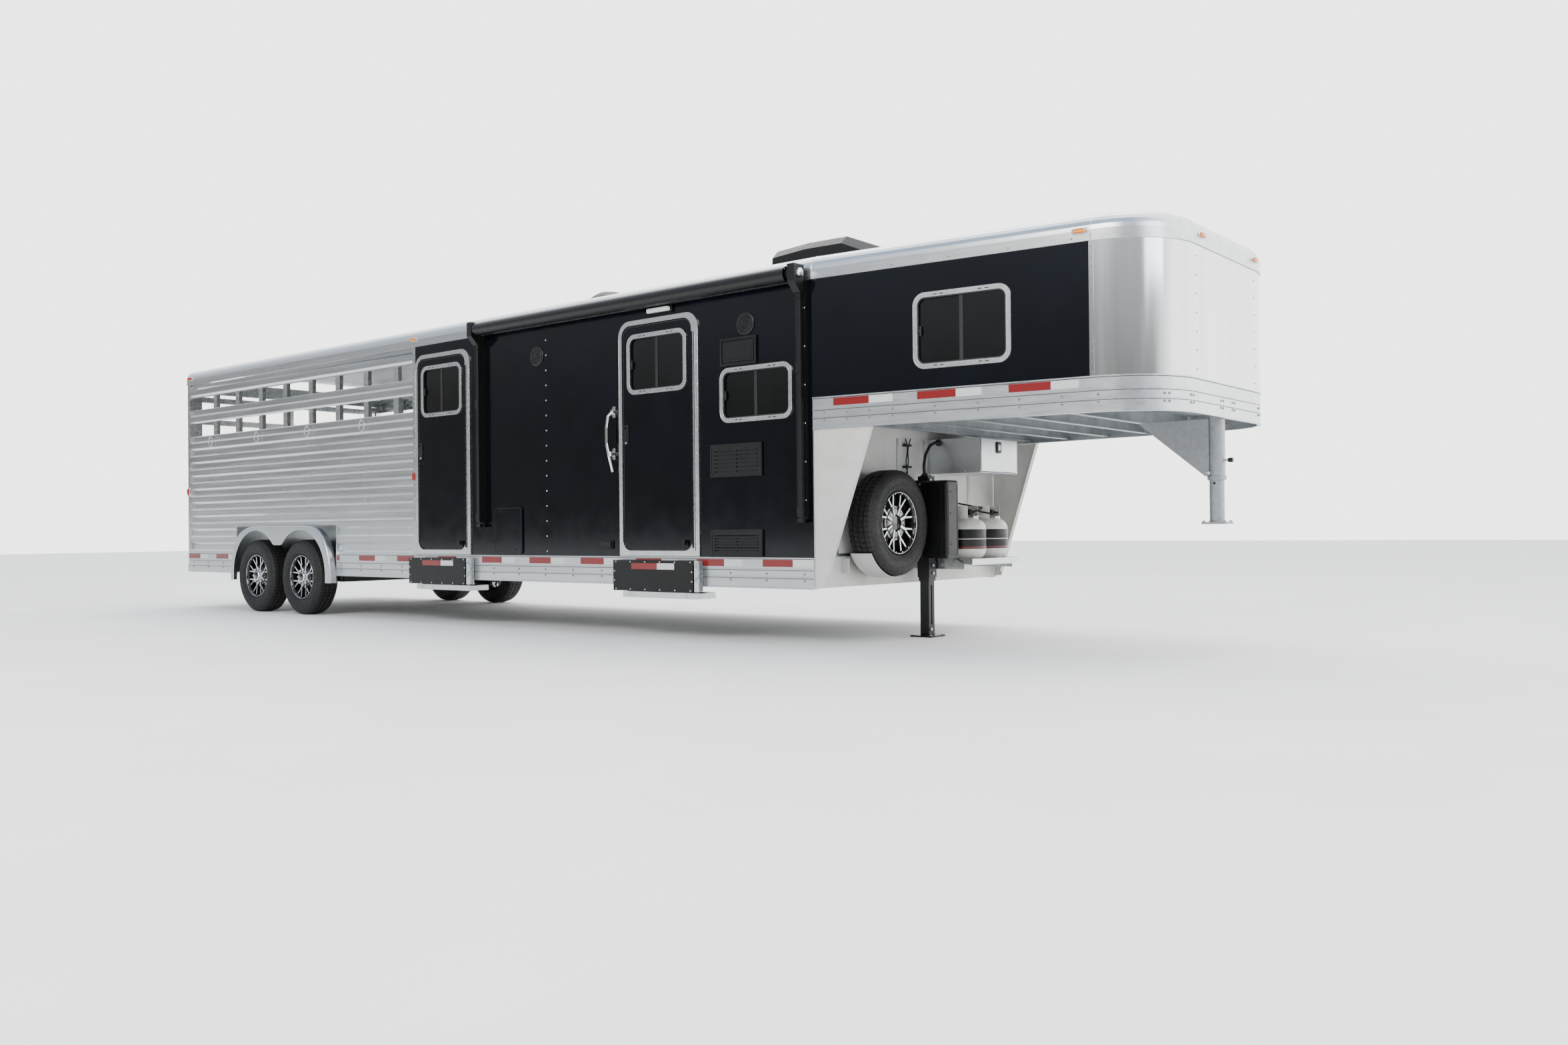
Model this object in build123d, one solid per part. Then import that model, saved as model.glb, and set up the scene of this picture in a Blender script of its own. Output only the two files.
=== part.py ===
from build123d import *
import math
import os

# Gooseneck stock trailer with living quarters, in millimetres.
# X points to the nose, Y to the left, Z up.  The origin is on the ground
# under the front jack, on the centre plane of the trailer.

# Body
DROP = -115                 # front face of the lower body
BODY_LENGTH = 8950
NOSE_LENGTH = 2365
HALF_WIDTH = 1219
NOSE_TAPER = 6.1            # degrees, each side
NOSE_RADIUS = 485
REAR = DROP - BODY_LENGTH
NOSE = DROP + NOSE_LENGTH
STOCK_FRONT = DROP - 4597   # animal compartment ends here
RAIL_LOW, RAIL_TOP = 395, 610
NOSE_RAIL_LOW, NOSE_RAIL_TOP = 1477, 1692
WALL_TOP = 2490
ROOF_TOP = 2660
ROOF_RADIUS = 105
FLOOR_TOP = 520
NOSE_FLOOR_TOP = 1602
SKIN = 4

# Planked walls of the animal compartment
PLANK_PITCH = 150
PLANK_DEPTH = 18
SLOT_LOW = (1908, 2056)     # lower row of air openings
SLOT_HIGH = (2204, 2341)    # upper row
POST_PITCH = 493.5
POST_FIRST = DROP - 8357

# Running gear
TYRE_RADIUS = 375
TYRE_WIDTH = 225
HALF_TRACK = 1165
STUD_CIRCLE = 165.1
AXLES = {"front": DROP - 6475, "rear": DROP - 7365}
FENDER_REAR, FENDER_FRONT = DROP - 7855, DROP - 5895
FENDER_OUT = 1295
FENDER_TOP = 892
WELL_IN = 985

# Doors and windows: each is (left edge, right edge, low, high) from the drop
MAIN_DOOR = (-1880, -1042, 614, 2404)
SMALL_DOOR = (-4550, -3748, 614, 2404)
DOOR_LOW, DOOR_HIGH = 655, 2368
SIDE_WINDOW = (-836, -168, 1567, 1959)
NOSE_WINDOW = (760, 1430, 1818, 2305)
DOOR_BAND = 36
HINGE_BAND = 66
WINDOW_BAND = 32
WINDOW_RADIUS = 82
PANE_LAP = 12               # how far each sliding pane passes the middle

# Hitch and jack
COUPLER = DROP + 2290
BALL_BORE = 29.5
JACK_TUBE = 90
SPARE = (DROP + 160, -560, 842)


def block(x0, x1, y0, y1, z0, z1):
    """Rectangular solid between two corners."""
    centre = Pos((x0 + x1) / 2, (y0 + y1) / 2, (z0 + z1) / 2)
    return centre * Box(abs(x1 - x0), abs(y1 - y0), abs(z1 - z0))


def push(points, travel):
    """Closed outline of points in space, pushed along a straight travel."""
    outline = make_face(Polyline(*points, close=True))
    way = Vector(*travel)
    return extrude(outline, amount=way.length, dir=way.normalized())


def rod(start, end, radius):
    """Round bar between two points."""
    way = Vector(*end) - Vector(*start)
    return Plane(origin=start, z_dir=way) * Cylinder(
        radius, way.length, align=(Align.CENTER, Align.CENTER, Align.MIN))


def tube(start, end, outer, inner):
    return rod(start, end, outer) - rod(start, end, inner)


def left_of(shape):
    """The same shape on the other side of the trailer."""
    return mirror(shape, about=Plane.XZ)


def both(shapes):
    return shapes + [left_of(shape) for shape in shapes]


def save(name, shapes):
    """Write one sub-part, each piece as its own solid."""
    solids = [solid for shape in shapes for solid in shape.solids()]
    export_step(solids[0] if len(solids) == 1 else Compound(solids), f"parts/{name}.step")


# ---------------------------------------------------------------- planes

TAPER = math.radians(NOSE_TAPER)
CORNER_X = NOSE - NOSE_RADIUS
TANGENT_X = CORNER_X + NOSE_RADIUS * math.sin(TAPER)
TANGENT_Y = HALF_WIDTH - (TANGENT_X - DROP) * math.tan(TAPER)
CORNER_Y = TANGENT_Y - NOSE_RADIUS * math.cos(TAPER)


def wall_plane(x, z, out=0):
    """On the right wall, x forward and z up, looking outwards."""
    return Plane(origin=(x, -HALF_WIDTH - out, z), x_dir=(1, 0, 0), z_dir=(0, -1, 0))


def nose_plane(x, z, out=0):
    """On the tapered right wall of the nose."""
    y = -HALF_WIDTH + (x - DROP) * math.tan(TAPER)
    side = Vector(math.sin(TAPER), -math.cos(TAPER), 0)
    origin = Vector(x, y, z) + side * out
    return Plane(origin=origin, x_dir=(math.cos(TAPER), math.sin(TAPER), 0), z_dir=side)


def sheet(plane, width, height, radius, thickness):
    """Rounded rectangle pushed outwards from its plane."""
    shape = RectangleRounded(width, height, radius) if radius else Rectangle(width, height)
    return extrude(plane * shape, amount=thickness)


def ring(plane, width, height, radius, band, thickness):
    outer = RectangleRounded(width, height, radius)
    inner = RectangleRounded(width - 2 * band, height - 2 * band, radius - band)
    return extrude(plane * (outer - inner), amount=thickness)


def centre_of(hole, taper=False):
    plane = nose_plane if taper else wall_plane
    x = DROP + (hole[0] + hole[1]) / 2
    return plane, x, (hole[2] + hole[3]) / 2


# ---------------------------------------------------------------- rails

def rail_points(low, top, flange):
    """Outline of the floor rail: distance out of the wall face, and height."""
    return [
        (-flange, low), (4, low), (4, low + 7), (0, low + 9),
        (0, low + 72), (3, low + 74), (3, low + 80), (0, low + 82),
        (0, top - 88), (3, top - 86), (3, top - 80), (0, top - 78),
        (0, top - 10), (5, top - 8), (5, top), (-flange, top), (-flange, top - 5),
        (-5, top - 5), (-5, low + 5), (-flange, low + 5)]


def right_rail(x0, x1, low, top, flange):
    outline = [(x0, -HALF_WIDTH - out, z) for out, z in rail_points(low, top, flange)]
    return push(outline, (x1 - x0, 0, 0))


def around_nose(points, right_end):
    """A profile of (out, height) carried round the tapered nose in five pieces."""
    side = Vector(math.sin(TAPER), -math.cos(TAPER), 0)
    tangent = Vector(TANGENT_X, -TANGENT_Y, 0)
    back = tangent - Vector(math.cos(TAPER), math.sin(TAPER), 0) * (TANGENT_X - right_end + 60)
    run = push([back + side * out + Vector(0, 0, z) for out, z in points], tangent - back)
    run = run & block(right_end, NOSE, -1500, 0, 0, 3000)
    profile = make_face(Polyline(
        *[tangent + side * out + Vector(0, 0, z) for out, z in points], close=True))
    turn = Axis((CORNER_X, -CORNER_Y, 0), (0, 0, 1))
    corner = revolve(profile, axis=turn, revolution_arc=90 - NOSE_TAPER)
    front = push([(NOSE + out, -CORNER_Y, z) for out, z in points], (0, 2 * CORNER_Y, 0))
    return both([run, corner]) + [front]


def floor_rails():
    lower = [
        right_rail(REAR, FENDER_REAR - 1, RAIL_LOW, RAIL_TOP, 45),
        right_rail(FENDER_FRONT + 1, DROP, RAIL_LOW, RAIL_TOP, 45)]
    upper = around_nose(rail_points(NOSE_RAIL_LOW, NOSE_RAIL_TOP, 20), DROP + 1)
    return both(lower) + upper


def roof_points():
    """Outline of the roof rail: a wall band that rolls over into the roof."""
    steps = 6
    bend = [(8 - ROOF_RADIUS * (1 - math.cos(a)), ROOF_TOP - ROOF_RADIUS + ROOF_RADIUS * math.sin(a))
            for a in [math.pi / 2 * i / steps for i in range(steps + 1)]]
    inner = [(4 - (ROOF_RADIUS - 4) * (1 - math.cos(a)),
              ROOF_TOP - ROOF_RADIUS + (ROOF_RADIUS - 4) * math.sin(a))
             for a in [math.pi / 2 * i / steps for i in range(steps, -1, -1)]]
    return ([(0, WALL_TOP), (8, WALL_TOP)] + bend + [(-140, ROOF_TOP), (-140, ROOF_TOP - 4)]
            + inner + [(4, WALL_TOP + 12), (0, WALL_TOP + 12)])


def roof_rail():
    right = push([(REAR, -HALF_WIDTH - out, z) for out, z in roof_points()], (BODY_LENGTH, 0, 0))
    rear = block(REAR, REAR + 6, -HALF_WIDTH + 2, HALF_WIDTH - 2, WALL_TOP, ROOF_TOP - ROOF_RADIUS)
    return both([right]) + around_nose(roof_points(), DROP + 1) + [rear]


def nose_outline(inset):
    """Plan of the nose inside its walls, from the drop forwards."""
    radius = NOSE_RADIUS - inset
    side = Vector(math.sin(TAPER), -math.cos(TAPER), 0)
    tangent = Vector(TANGENT_X, -TANGENT_Y, 0) - side * inset
    root_y = tangent.Y - (tangent.X - DROP) * math.tan(TAPER)
    middle = math.radians((-90 + NOSE_TAPER) / 2)
    shoulder = (CORNER_X + radius * math.cos(middle), -CORNER_Y + radius * math.sin(middle), 0)
    toe = (NOSE - inset, -CORNER_Y, 0)
    right = Curve() + [Line((DROP, root_y, 0), tangent), ThreePointArc(tangent, shoulder, toe)]
    left = mirror(right, about=Plane.XZ)
    ends = [Line(toe, (NOSE - inset, CORNER_Y, 0)), Line((DROP, -root_y, 0), (DROP, root_y, 0))]
    return make_face(Wire(right.edges() + left.edges() + ends))


def roof_skin():
    main = block(REAR + 8, DROP, -1095, 1095, ROOF_TOP - 8, ROOF_TOP - 5)
    nose = extrude(Pos(0, 0, ROOF_TOP - 8) * nose_outline(125), amount=3)
    return [main, nose]


# ---------------------------------------------------------------- floors

def well_room(margin=0):
    """Room taken by the right wheel well."""
    return block(FENDER_REAR - margin, FENDER_FRONT + margin, -1400, -WELL_IN + margin, 200,
                 FENDER_TOP + margin)


def floor_decks():
    main = block(REAR + 4, DROP - 14, -1212, 1212, FLOOR_TOP - 6, FLOOR_TOP)
    main = main - well_room(1) - left_of(well_room(1))
    nose = extrude(Pos(0, 0, NOSE_FLOOR_TOP - 6) * nose_outline(8), amount=6)
    return [main, nose]


def channel(x, half_width, low, high):
    """Cross member: a channel lying across the frame."""
    web = block(x, x + 5, -half_width, half_width, low, high)
    flanges = [block(x + 5, x + 45, -half_width, half_width, z, z + 5) for z in (low, high - 5)]
    return web + flanges[0] + flanges[1]


def cross_members():
    members = []
    count = 26
    first, last = REAR + 60, DROP - 120
    for i in range(count):
        x = first + (last - first) * i / (count - 1)
        inside = FENDER_REAR - 60 < x < FENDER_FRONT + 20
        members.append(channel(x, 960 if inside else 1170, RAIL_LOW + 8, FLOOR_TOP - 6))
    for station in range(330, 1720, 345):
        half = HALF_WIDTH - station * math.tan(TAPER) - 34
        members.append(channel(DROP + station, half, NOSE_RAIL_LOW + 14, NOSE_FLOOR_TOP - 6))
    return members


# ---------------------------------------------------------------- stock walls

def plank_points(low, high):
    """Ridges and valleys of the interlocking wall planks, as (out, height)."""
    corners = ((0, 0), (26, 0), (48, -PLANK_DEPTH), (98, -PLANK_DEPTH), (120, 0))
    outline = []
    start = RAIL_TOP - 6
    while start < high:
        outline += [(out, start + rise) for rise, out in corners]
        start += PLANK_PITCH
    kept = [(out, z) for out, z in outline if low < z < high]

    def depth_at(level):
        rise = (level - (RAIL_TOP - 6)) % PLANK_PITCH
        cycle = corners + ((PLANK_PITCH, 0),)
        for (r0, o0), (r1, o1) in zip(cycle, cycle[1:]):
            if r0 <= rise <= r1:
                return o0 + (o1 - o0) * (rise - r0) / (r1 - r0)
        return 0
    return [(depth_at(low), low)] + kept + [(depth_at(high), high)]


def planks(x0, x1, low, high):
    """A run of wall planks on the right side."""
    face = plank_points(low, high)
    outline = face + [(out - 3, z) for out, z in reversed(face)]
    return push([(x0, -HALF_WIDTH - out, z) for out, z in outline], (x1 - x0, 0, 0))


def post(x, low):
    """Upright hat section behind the planks."""
    y0, y1 = -HALF_WIDTH + PLANK_DEPTH + 4, -HALF_WIDTH + PLANK_DEPTH + 42
    outer = block(x - 38, x + 38, y0, y1, low, WALL_TOP - 12)
    return outer - block(x - 34, x + 34, y0 + 4, y1 + 1, low - 1, WALL_TOP)


def stock_wall():
    front = STOCK_FRONT
    back = REAR + 62
    low = RAIL_TOP + 0.5
    walls = [
        planks(back, FENDER_REAR - 1, low, SLOT_LOW[0]),
        planks(FENDER_REAR - 1, FENDER_FRONT + 1, FENDER_TOP + 2, SLOT_LOW[0]),
        planks(FENDER_FRONT + 1, front, low, SLOT_LOW[0]),
        planks(back, front, SLOT_LOW[1], SLOT_HIGH[0]),
        planks(back, front, SLOT_HIGH[1], WALL_TOP - 1)]
    for i in range(8):
        x = POST_FIRST + i * POST_PITCH
        over_well = FENDER_REAR - 45 < x < FENDER_FRONT + 45
        walls.append(post(x, FENDER_TOP + 12 if over_well else RAIL_TOP + 1))
    trim = block(front + 0.5, front + 44, -HALF_WIDTH - 5, -HALF_WIDTH + 30, low, WALL_TOP - 1)
    return walls + [trim]


def rear_frame():
    corner = block(REAR, REAR + 60, -HALF_WIDTH - 1, -HALF_WIDTH + 75, RAIL_TOP + 1, WALL_TOP - 1)
    corner -= block(REAR + 5, REAR + 55, -HALF_WIDTH + 4, -HALF_WIDTH + 70, 0, 3000)
    header = block(REAR + 1, REAR + 55, -1143, 1143, 2412, WALL_TOP - 1)
    header -= block(REAR + 5, REAR + 51, -1200, 1200, 2416, 3000)
    sill = block(REAR - 8, REAR - 1, -1214, 1214, RAIL_LOW, FLOOR_TOP + 8)
    bumper = block(REAR - 45, REAR - 8, -1210, -1110, 405, 485)
    return both([corner, fillet(bumper.edges().filter_by(Axis.Z), 12)]) + [header, sill]


# ---------------------------------------------------------------- living quarters

def window_hole(hole, taper=False):
    """Cut for a window: the frame's channel drops into it."""
    plane, x, z = centre_of(hole, taper)
    width, height = hole[1] - hole[0] - 20, hole[3] - hole[2] - 20
    return sheet(plane(x, z, -60), width, height, WINDOW_RADIUS - 10, 120)


def door_cut(door):
    """Doorway with round upper corners."""
    width, height = door[1] - door[0] + 1, door[3] - door[2]
    x, middle = DROP + (door[0] + door[1]) / 2, (door[2] + door[3]) / 2
    arch = sheet(wall_plane(x, middle + 0.25, -60), width, height + 0.5, 120, 120)
    return arch + block(x - width / 2, x + width / 2, -HALF_WIDTH - 60, -HALF_WIDTH + 60, 500, 1400)


def living_wall(doors):
    """Skins of the living quarters and nose on the right side."""
    low = RAIL_TOP + 0.5
    back = STOCK_FRONT + 45
    inner, outer = -HALF_WIDTH + SKIN, -HALF_WIDTH
    wall = block(back, DROP, inner, outer, low, WALL_TOP - 0.5) - window_hole(SIDE_WINDOW)
    cuts = [back]
    for door in doors:
        wall -= door_cut(door)
        cuts += [DROP + door[0] - 0.5, DROP + door[1] + 0.5]
    cuts.append(DROP)
    panels = []
    for x0, x1 in zip(cuts, cuts[1:]):
        if x1 - x0 < 10:
            continue
        panels += (wall & block(x0, x1, -1300, -1100, 300, 2600)).solids()
    width = 1917 / math.cos(TAPER)
    flank = sheet(nose_plane(DROP + 1917 / 2, (NOSE_RAIL_TOP + WALL_TOP) / 2, -SKIN),
                  width - 1, WALL_TOP - NOSE_RAIL_TOP - 1, 0, SKIN)
    return panels + [flank - window_hole(NOSE_WINDOW, True)]


def nose_skin():
    low, high = NOSE_RAIL_TOP + 0.5, WALL_TOP - 0.5
    return around_nose([(-4, low), (0, low), (0, high), (-4, high)], DROP + 1919)


def bulkheads():
    """Drop wall, its gussets, the spare wheel's plate and the wall behind the animals."""
    drop = block(DROP - 12, DROP - 6, -1213, 1213, RAIL_LOW + 6, NOSE_FLOOR_TOP - 8)
    for y in (-1193, 1193):
        drop -= block(DROP - 20, DROP, y - 21, y + 21, RAIL_TOP - 6, RAIL_TOP + 0.5)
    middle = block(STOCK_FRONT + 2, STOCK_FRONT + 7, -1150, 1150, FLOOR_TOP + 0.5, ROOF_TOP - 12)
    outline = [(3, NOSE_RAIL_LOW - 1), (436, NOSE_RAIL_LOW - 1), (76, 448), (66, 412), (3, 412)]
    flat = nose_plane(DROP, 0, -14)
    face = make_face(Polyline(*[flat.from_local_coords((s, z, 0)) for s, z in outline], close=True))
    web = extrude(face, amount=4, dir=flat.z_dir)
    edge = [(436, NOSE_RAIL_LOW - 1), (76, 448), (80, 446.6), (440.3, NOSE_RAIL_LOW - 1)]
    lip = make_face(Polyline(*[flat.from_local_coords((s, z, 4)) for s, z in edge], close=True))
    web += extrude(lip, amount=40, dir=-flat.z_dir)
    plate_x = SPARE[0] + TYRE_WIDTH / 2 - 59
    stem = tube((DROP - 5.5, SPARE[1], SPARE[2]), (plate_x - 8, SPARE[1], SPARE[2]), 45, 39)
    stem += rod((plate_x - 8, SPARE[1], SPARE[2]), (plate_x, SPARE[1], SPARE[2]), 120)
    for hole in stud_circle(8.5):
        stem -= Pos(plate_x, SPARE[1], SPARE[2]) * Rot(0, 0, -90) * hole
    return [drop, middle, stem] + both([web])


# ---------------------------------------------------------------- doors and windows

def window_frame(plane, x, z, width, height):
    """Clamp flange outside the wall with the glazing channel behind it."""
    flange = ring(plane(x, z, 0), width, height, WINDOW_RADIUS, WINDOW_BAND, 10)
    channel_ring = ring(plane(x, z, -22), width - 21, height - 21, WINDOW_RADIUS - 10.5, 8, 22)
    return flange + channel_ring


def glass_pane(plane, x, z, width, height, forward, out):
    """One pane: the forward half is fixed, the rear half slides over the lap."""
    spot = plane(x, z, out)
    half = (width - 40) / 2 + PANE_LAP
    middle = spot.origin + spot.x_dir * ((half / 2 - PANE_LAP) * (1 if forward else -1))
    keep = Plane(origin=middle, x_dir=spot.x_dir, z_dir=spot.z_dir)
    whole = sheet(spot, width - 40, height - 40, WINDOW_RADIUS - 22, 4)
    return whole & sheet(keep, half, height, 0, 4)


def window_parts(hole, taper=False):
    plane, x, z = centre_of(hole, taper)
    width, height = hole[1] - hole[0], hole[3] - hole[2]
    frame = window_frame(plane, x, z, width, height)
    fixed = glass_pane(plane, x, z, width, height, True, -8)
    slider = glass_pane(plane, x, z, width, height, False, -14)
    return frame, fixed, slider


def door_frame(door):
    width, height = door[1] - door[0], door[3] - door[2]
    x, z = DROP + (door[0] + door[1]) / 2, (door[2] + door[3]) / 2
    outer = sheet(wall_plane(x, z, -32), width, height, 119, 44)
    outer += block(x - width / 2, x + width / 2, -HALF_WIDTH - 12, -HALF_WIDTH + 32, door[2], 1400)
    left, right = DROP + door[0] + DOOR_BAND, DROP + door[1] - HINGE_BAND
    middle = (DOOR_LOW + DOOR_HIGH) / 2
    inner = sheet(wall_plane((left + right) / 2, middle, -60), right - left,
                  DOOR_HIGH - DOOR_LOW, 84, 120)
    frame = outer - inner
    x0, x1 = DROP + door[0], DROP + door[1]
    for a, b in ((x0 + 5, left - 5), (right + 5, x1 - 5)):
        frame -= block(a, b, -HALF_WIDTH - 7, -HALF_WIDTH + 26, door[2] + 20, 2200)
    return frame


def door_leaf(door):
    """Leaf with its window frame and fixed pane, and the sliding pane apart."""
    left, right = DROP + door[0] + DOOR_BAND + 3, DROP + door[1] - HINGE_BAND - 3
    x, middle = (left + right) / 2, (DOOR_LOW + DOOR_HIGH) / 2
    leaf = sheet(wall_plane(x, middle, -28), right - left, DOOR_HIGH - DOOR_LOW - 6, 80, 30)
    leaf -= sheet(wall_plane(x, middle, -24), right - left - 8, DOOR_HIGH - DOOR_LOW - 14, 76, 22)
    width, height, z = min(right - left - 96, 628), 458, 2070
    leaf -= sheet(wall_plane(x, z, -60), width - 20, height - 20, WINDOW_RADIUS - 10, 120)

    def raised(px, pz, out=0):
        return wall_plane(px, pz, out + 2)
    frame = window_frame(raised, x, z, width, height)
    fixed = glass_pane(raised, x, z, width, height, True, -8)
    slider = glass_pane(raised, x, z, width, height, False, -14)
    hinge = rod((right + 6, -HALF_WIDTH - 17, DOOR_LOW + 20), (right + 6, -HALF_WIDTH - 17, 2260), 4)
    return leaf, frame, fixed, slider, hinge


def latch_paddle(door):
    """Pull paddle of the flush lock near the free edge of a leaf."""
    x = DROP + door[0] + DOOR_BAND + 32
    return block(x - 13, x + 13, -HALF_WIDTH - 9, -HALF_WIDTH - 2.4, 1490, 1586)


def step_stations():
    return {"small": (DROP - 4600, DROP - 3765), "main": (DROP - 1910, DROP - 1068)}


def step_panel(x0, x1):
    """Folding step, stowed upright: a shallow box with its tread inwards."""
    panel = block(x0, x1, -HALF_WIDTH - 56, -HALF_WIDTH - 17, 352, 583)
    return fillet(panel.edges().filter_by(Axis.X), 3) - block(
        x0 + 4, x1 - 4, -HALF_WIDTH - 52, -HALF_WIDTH - 21, 356, 579)


def step_housing(x0, x1):
    """Tray under the folded step and its two end brackets."""
    tray = block(x0 + 60, x1 - 4, -HALF_WIDTH - 14, -HALF_WIDTH + 190, 300, 345)
    tray -= block(x0 + 64, x1 - 8, -HALF_WIDTH - 10, -HALF_WIDTH + 186, 304, 400)
    end = block(x1 + 8, x1 + 52, -HALF_WIDTH - 52, -HALF_WIDTH - 6, 356, 583)
    end -= block(x1 + 12, x1 + 60, -HALF_WIDTH - 48, -HALF_WIDTH - 10, 340, 600)
    tie = block(x1 - 4, x1 + 52, -HALF_WIDTH - 14, -HALF_WIDTH + 60, 340, 345)
    return [tray, end, tie]


# ---------------------------------------------------------------- running gear

def fender_side(inset, out, low):
    """Side outline of the fender, pushed in from its outer face."""
    cx = (FENDER_REAR + FENDER_FRONT) / 2
    half, top = (FENDER_FRONT - FENDER_REAR) / 2 - inset, FENDER_TOP - inset
    y = -out

    def bow(turn):
        ends = [(half, low), (half - 10, 720), (half - 125, top), (420, top)]
        return Bezier(*[(cx + turn * x, y, z) for x, z in ends])
    front, rear = bow(1), bow(-1)
    outline = Wire([front, Line(front @ 1, rear @ 1), rear, Line(rear @ 0, front @ 0)])
    return extrude(make_face(outline), amount=out - HALF_WIDTH - 1, dir=(0, 1, 0))


def fenders():
    """Tandem fender with two arches, and the wheel well behind it."""
    cx = (FENDER_REAR + FENDER_FRONT) / 2
    low, arch, reach = 325, 435, 464
    shell = fender_side(0, FENDER_OUT, low)
    shell = fillet(shell.faces().sort_by(Axis.Y)[0].edges().sort_by(Axis.Z)[1:], 18)
    inner = fender_side(4, FENDER_OUT - 4, low - 1)
    inner = fillet(inner.faces().sort_by(Axis.Y)[0].edges().sort_by(Axis.Z)[1:], 14)
    inner += Pos(0, 20, 0) * inner
    shell -= inner
    wide = 2 * (arch + reach)
    opening = Pos(-arch, 0) * Ellipse(reach, 447) + Pos(arch, 0) * Ellipse(reach, 447)
    opening += Pos(0, 44) * Rectangle(400, 502) + Pos(0, -150) * Rectangle(wide, 300)
    opening = fillet(opening.vertices().filter_by_position(Axis.Y, 290, 300), 78)
    opening -= Pos(0, -500) * Rectangle(wide, 400)
    shell -= extrude(Plane(origin=(cx, -HALF_WIDTH - 30, 400), x_dir=(1, 0, 0), z_dir=(0, -1, 0))
                     * opening, amount=100)
    well = block(FENDER_REAR, FENDER_FRONT, -HALF_WIDTH - 0.5, -WELL_IN, RAIL_LOW + 10, FENDER_TOP)
    well -= block(FENDER_REAR + 4, FENDER_FRONT - 4, -1400, -WELL_IN - 4, 300, FENDER_TOP - 4)
    return shell, well


def axle(x):
    """Torsion axle: square tube, trailing arms, spindles and frame brackets."""
    centre = x + 150
    beam = block(centre - 38, centre + 38, -900, 900, 317, 393)
    beam -= block(centre - 32, centre + 32, -901, 901, 323, 387)
    arm = push([(centre + 34, -906, 318), (centre + 34, -906, 390), (x - 28, -906, 407),
                (x - 28, -906, 343)], (0, -34, 0))
    spindle = rod((x, -940, TYRE_RADIUS), (x, -HALF_TRACK + 15, TYRE_RADIUS), 26)
    hub_stub = rod((centre, -900, 355), (centre, -906, 355), 30)
    bracket = block(centre - 46, centre + 46, -880, -780, 394, RAIL_LOW + 7)
    return [beam] + both([arm + hub_stub + spindle, bracket])


def tyre(x, y, z, along="Y"):
    """Radial tyre with a rounded shoulder and circumferential ribs."""
    radius, half = TYRE_RADIUS, TYRE_WIDTH / 2
    face = [(221, half - 29), (231, half - 14), (262, half - 3), (300, half), (335, half - 5),
            (358, half - 17), (370, half - 32), (radius, half - 42)]
    ribs = []
    for groove in (42, 0, -42):
        ribs += [(radius, groove + 5), (radius - 8, groove + 4), (radius - 8, groove - 4),
                 (radius, groove - 5)]
    back = [(r, -w) for r, w in reversed(face)]
    bead = [(221, -half + 40), (240, -half + 32), (338, -half + 22), (352, -half + 40),
            (352, half - 40), (338, half - 22), (240, half - 32), (221, half - 40)]
    outline = make_face(Polyline(*[(0, w, r) for r, w in face + ribs + back + bead], close=True))
    wheel = revolve(outline, axis=Axis.Y)
    turn = Rot(0, 0, 0) if along == "Y" else Rot(0, 0, 90)
    return Pos(x, y, z) * turn * wheel


def stud_circle(radius):
    """Cutters along Y for the wheel studs."""
    return [Rot(0, i * 45 + 22.5, 0) * Pos(0, 0, STUD_CIRCLE / 2) * rod((0, -100, 0), (0, 100, 0), radius)
            for i in range(8)]


def rim(x, y, z, outward, turn=0, hub=True):
    """Alloy wheel: barrel, disc with split spokes, drum and hub cap."""
    half = TYRE_WIDTH / 2
    outline = [(212, -half + 24), (219, -half + 24), (219, -half + 27), (208, -half + 40),
               (200, -30), (200, 20), (208, half - 40), (219, half - 26), (219, half - 22),
               (211, half - 22), (203, half - 36), (193, 20), (193, -30), (203, -half + 38)]
    barrel = revolve(make_face(Polyline(*[(0, w, r) for r, w in outline], close=True)), axis=Axis.Y)
    plate = rod((0, half - 58, 0), (0, half - 48, 0), 192.5) - rod((0, 0, 0), (0, half, 0), 62)
    window = [(-9, 92), (9, 92), (26, 178), (-26, 178)]
    for i in range(8):
        cut = push([(px, 0, pz) for px, pz in window], (0, half, 0))
        plate -= Rot(0, i * 45, 0) * cut
    for hole in stud_circle(8):
        plate -= hole
    pieces = [barrel, plate]
    if hub:
        pieces.append(rod((0, -76, 0), (0, half - 58.5, 0), 140) - rod((0, -80, 0), (0, -12, 0), 30))
        cap = rod((0, half - 57, 0), (0, half - 12, 0), 60)
        pieces.append(cap)
    facing = Rot(0, 0, 180) if outward < 0 else Rot(0, 0, 0)
    return [Pos(x, y, z) * Rot(0, 0, turn) * facing * piece for piece in pieces]


# ---------------------------------------------------------------- hitch, jack and boxes

def coupler_tube():
    """Outer neck tube with its gusset box under the nose floor."""
    neck = tube((COUPLER, 0, 1090), (COUPLER, 0, NOSE_FLOOR_TOP - 7), 52, 46.2)
    neck += tube((COUPLER, 0, 1092), (COUPLER, 0, 1112), 58, 50)
    neck -= rod((COUPLER, 0, 1215), (COUPLER + 100, 0, 1215), 8.6)
    under = NOSE_RAIL_LOW - 1
    outline = [(DROP + 1790, under), (COUPLER - 30, under), (COUPLER - 30, 1118), (COUPLER - 60, 1118)]
    gussets = [push([(x, y, z) for x, z in outline], (0, 5, 0)) for y in (-50, 45)]
    gussets.append(push([(DROP + 1790, -45, under), (DROP + 1798, -45, under),
                         (COUPLER - 58, -45, 1124), (COUPLER - 60, -45, 1118)], (0, 90, 0)))
    cutter = rod((COUPLER, 0, 1000), (COUPLER, 0, 1600), 52.5)
    return [neck] + [piece - cutter for piece in gussets]


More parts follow.
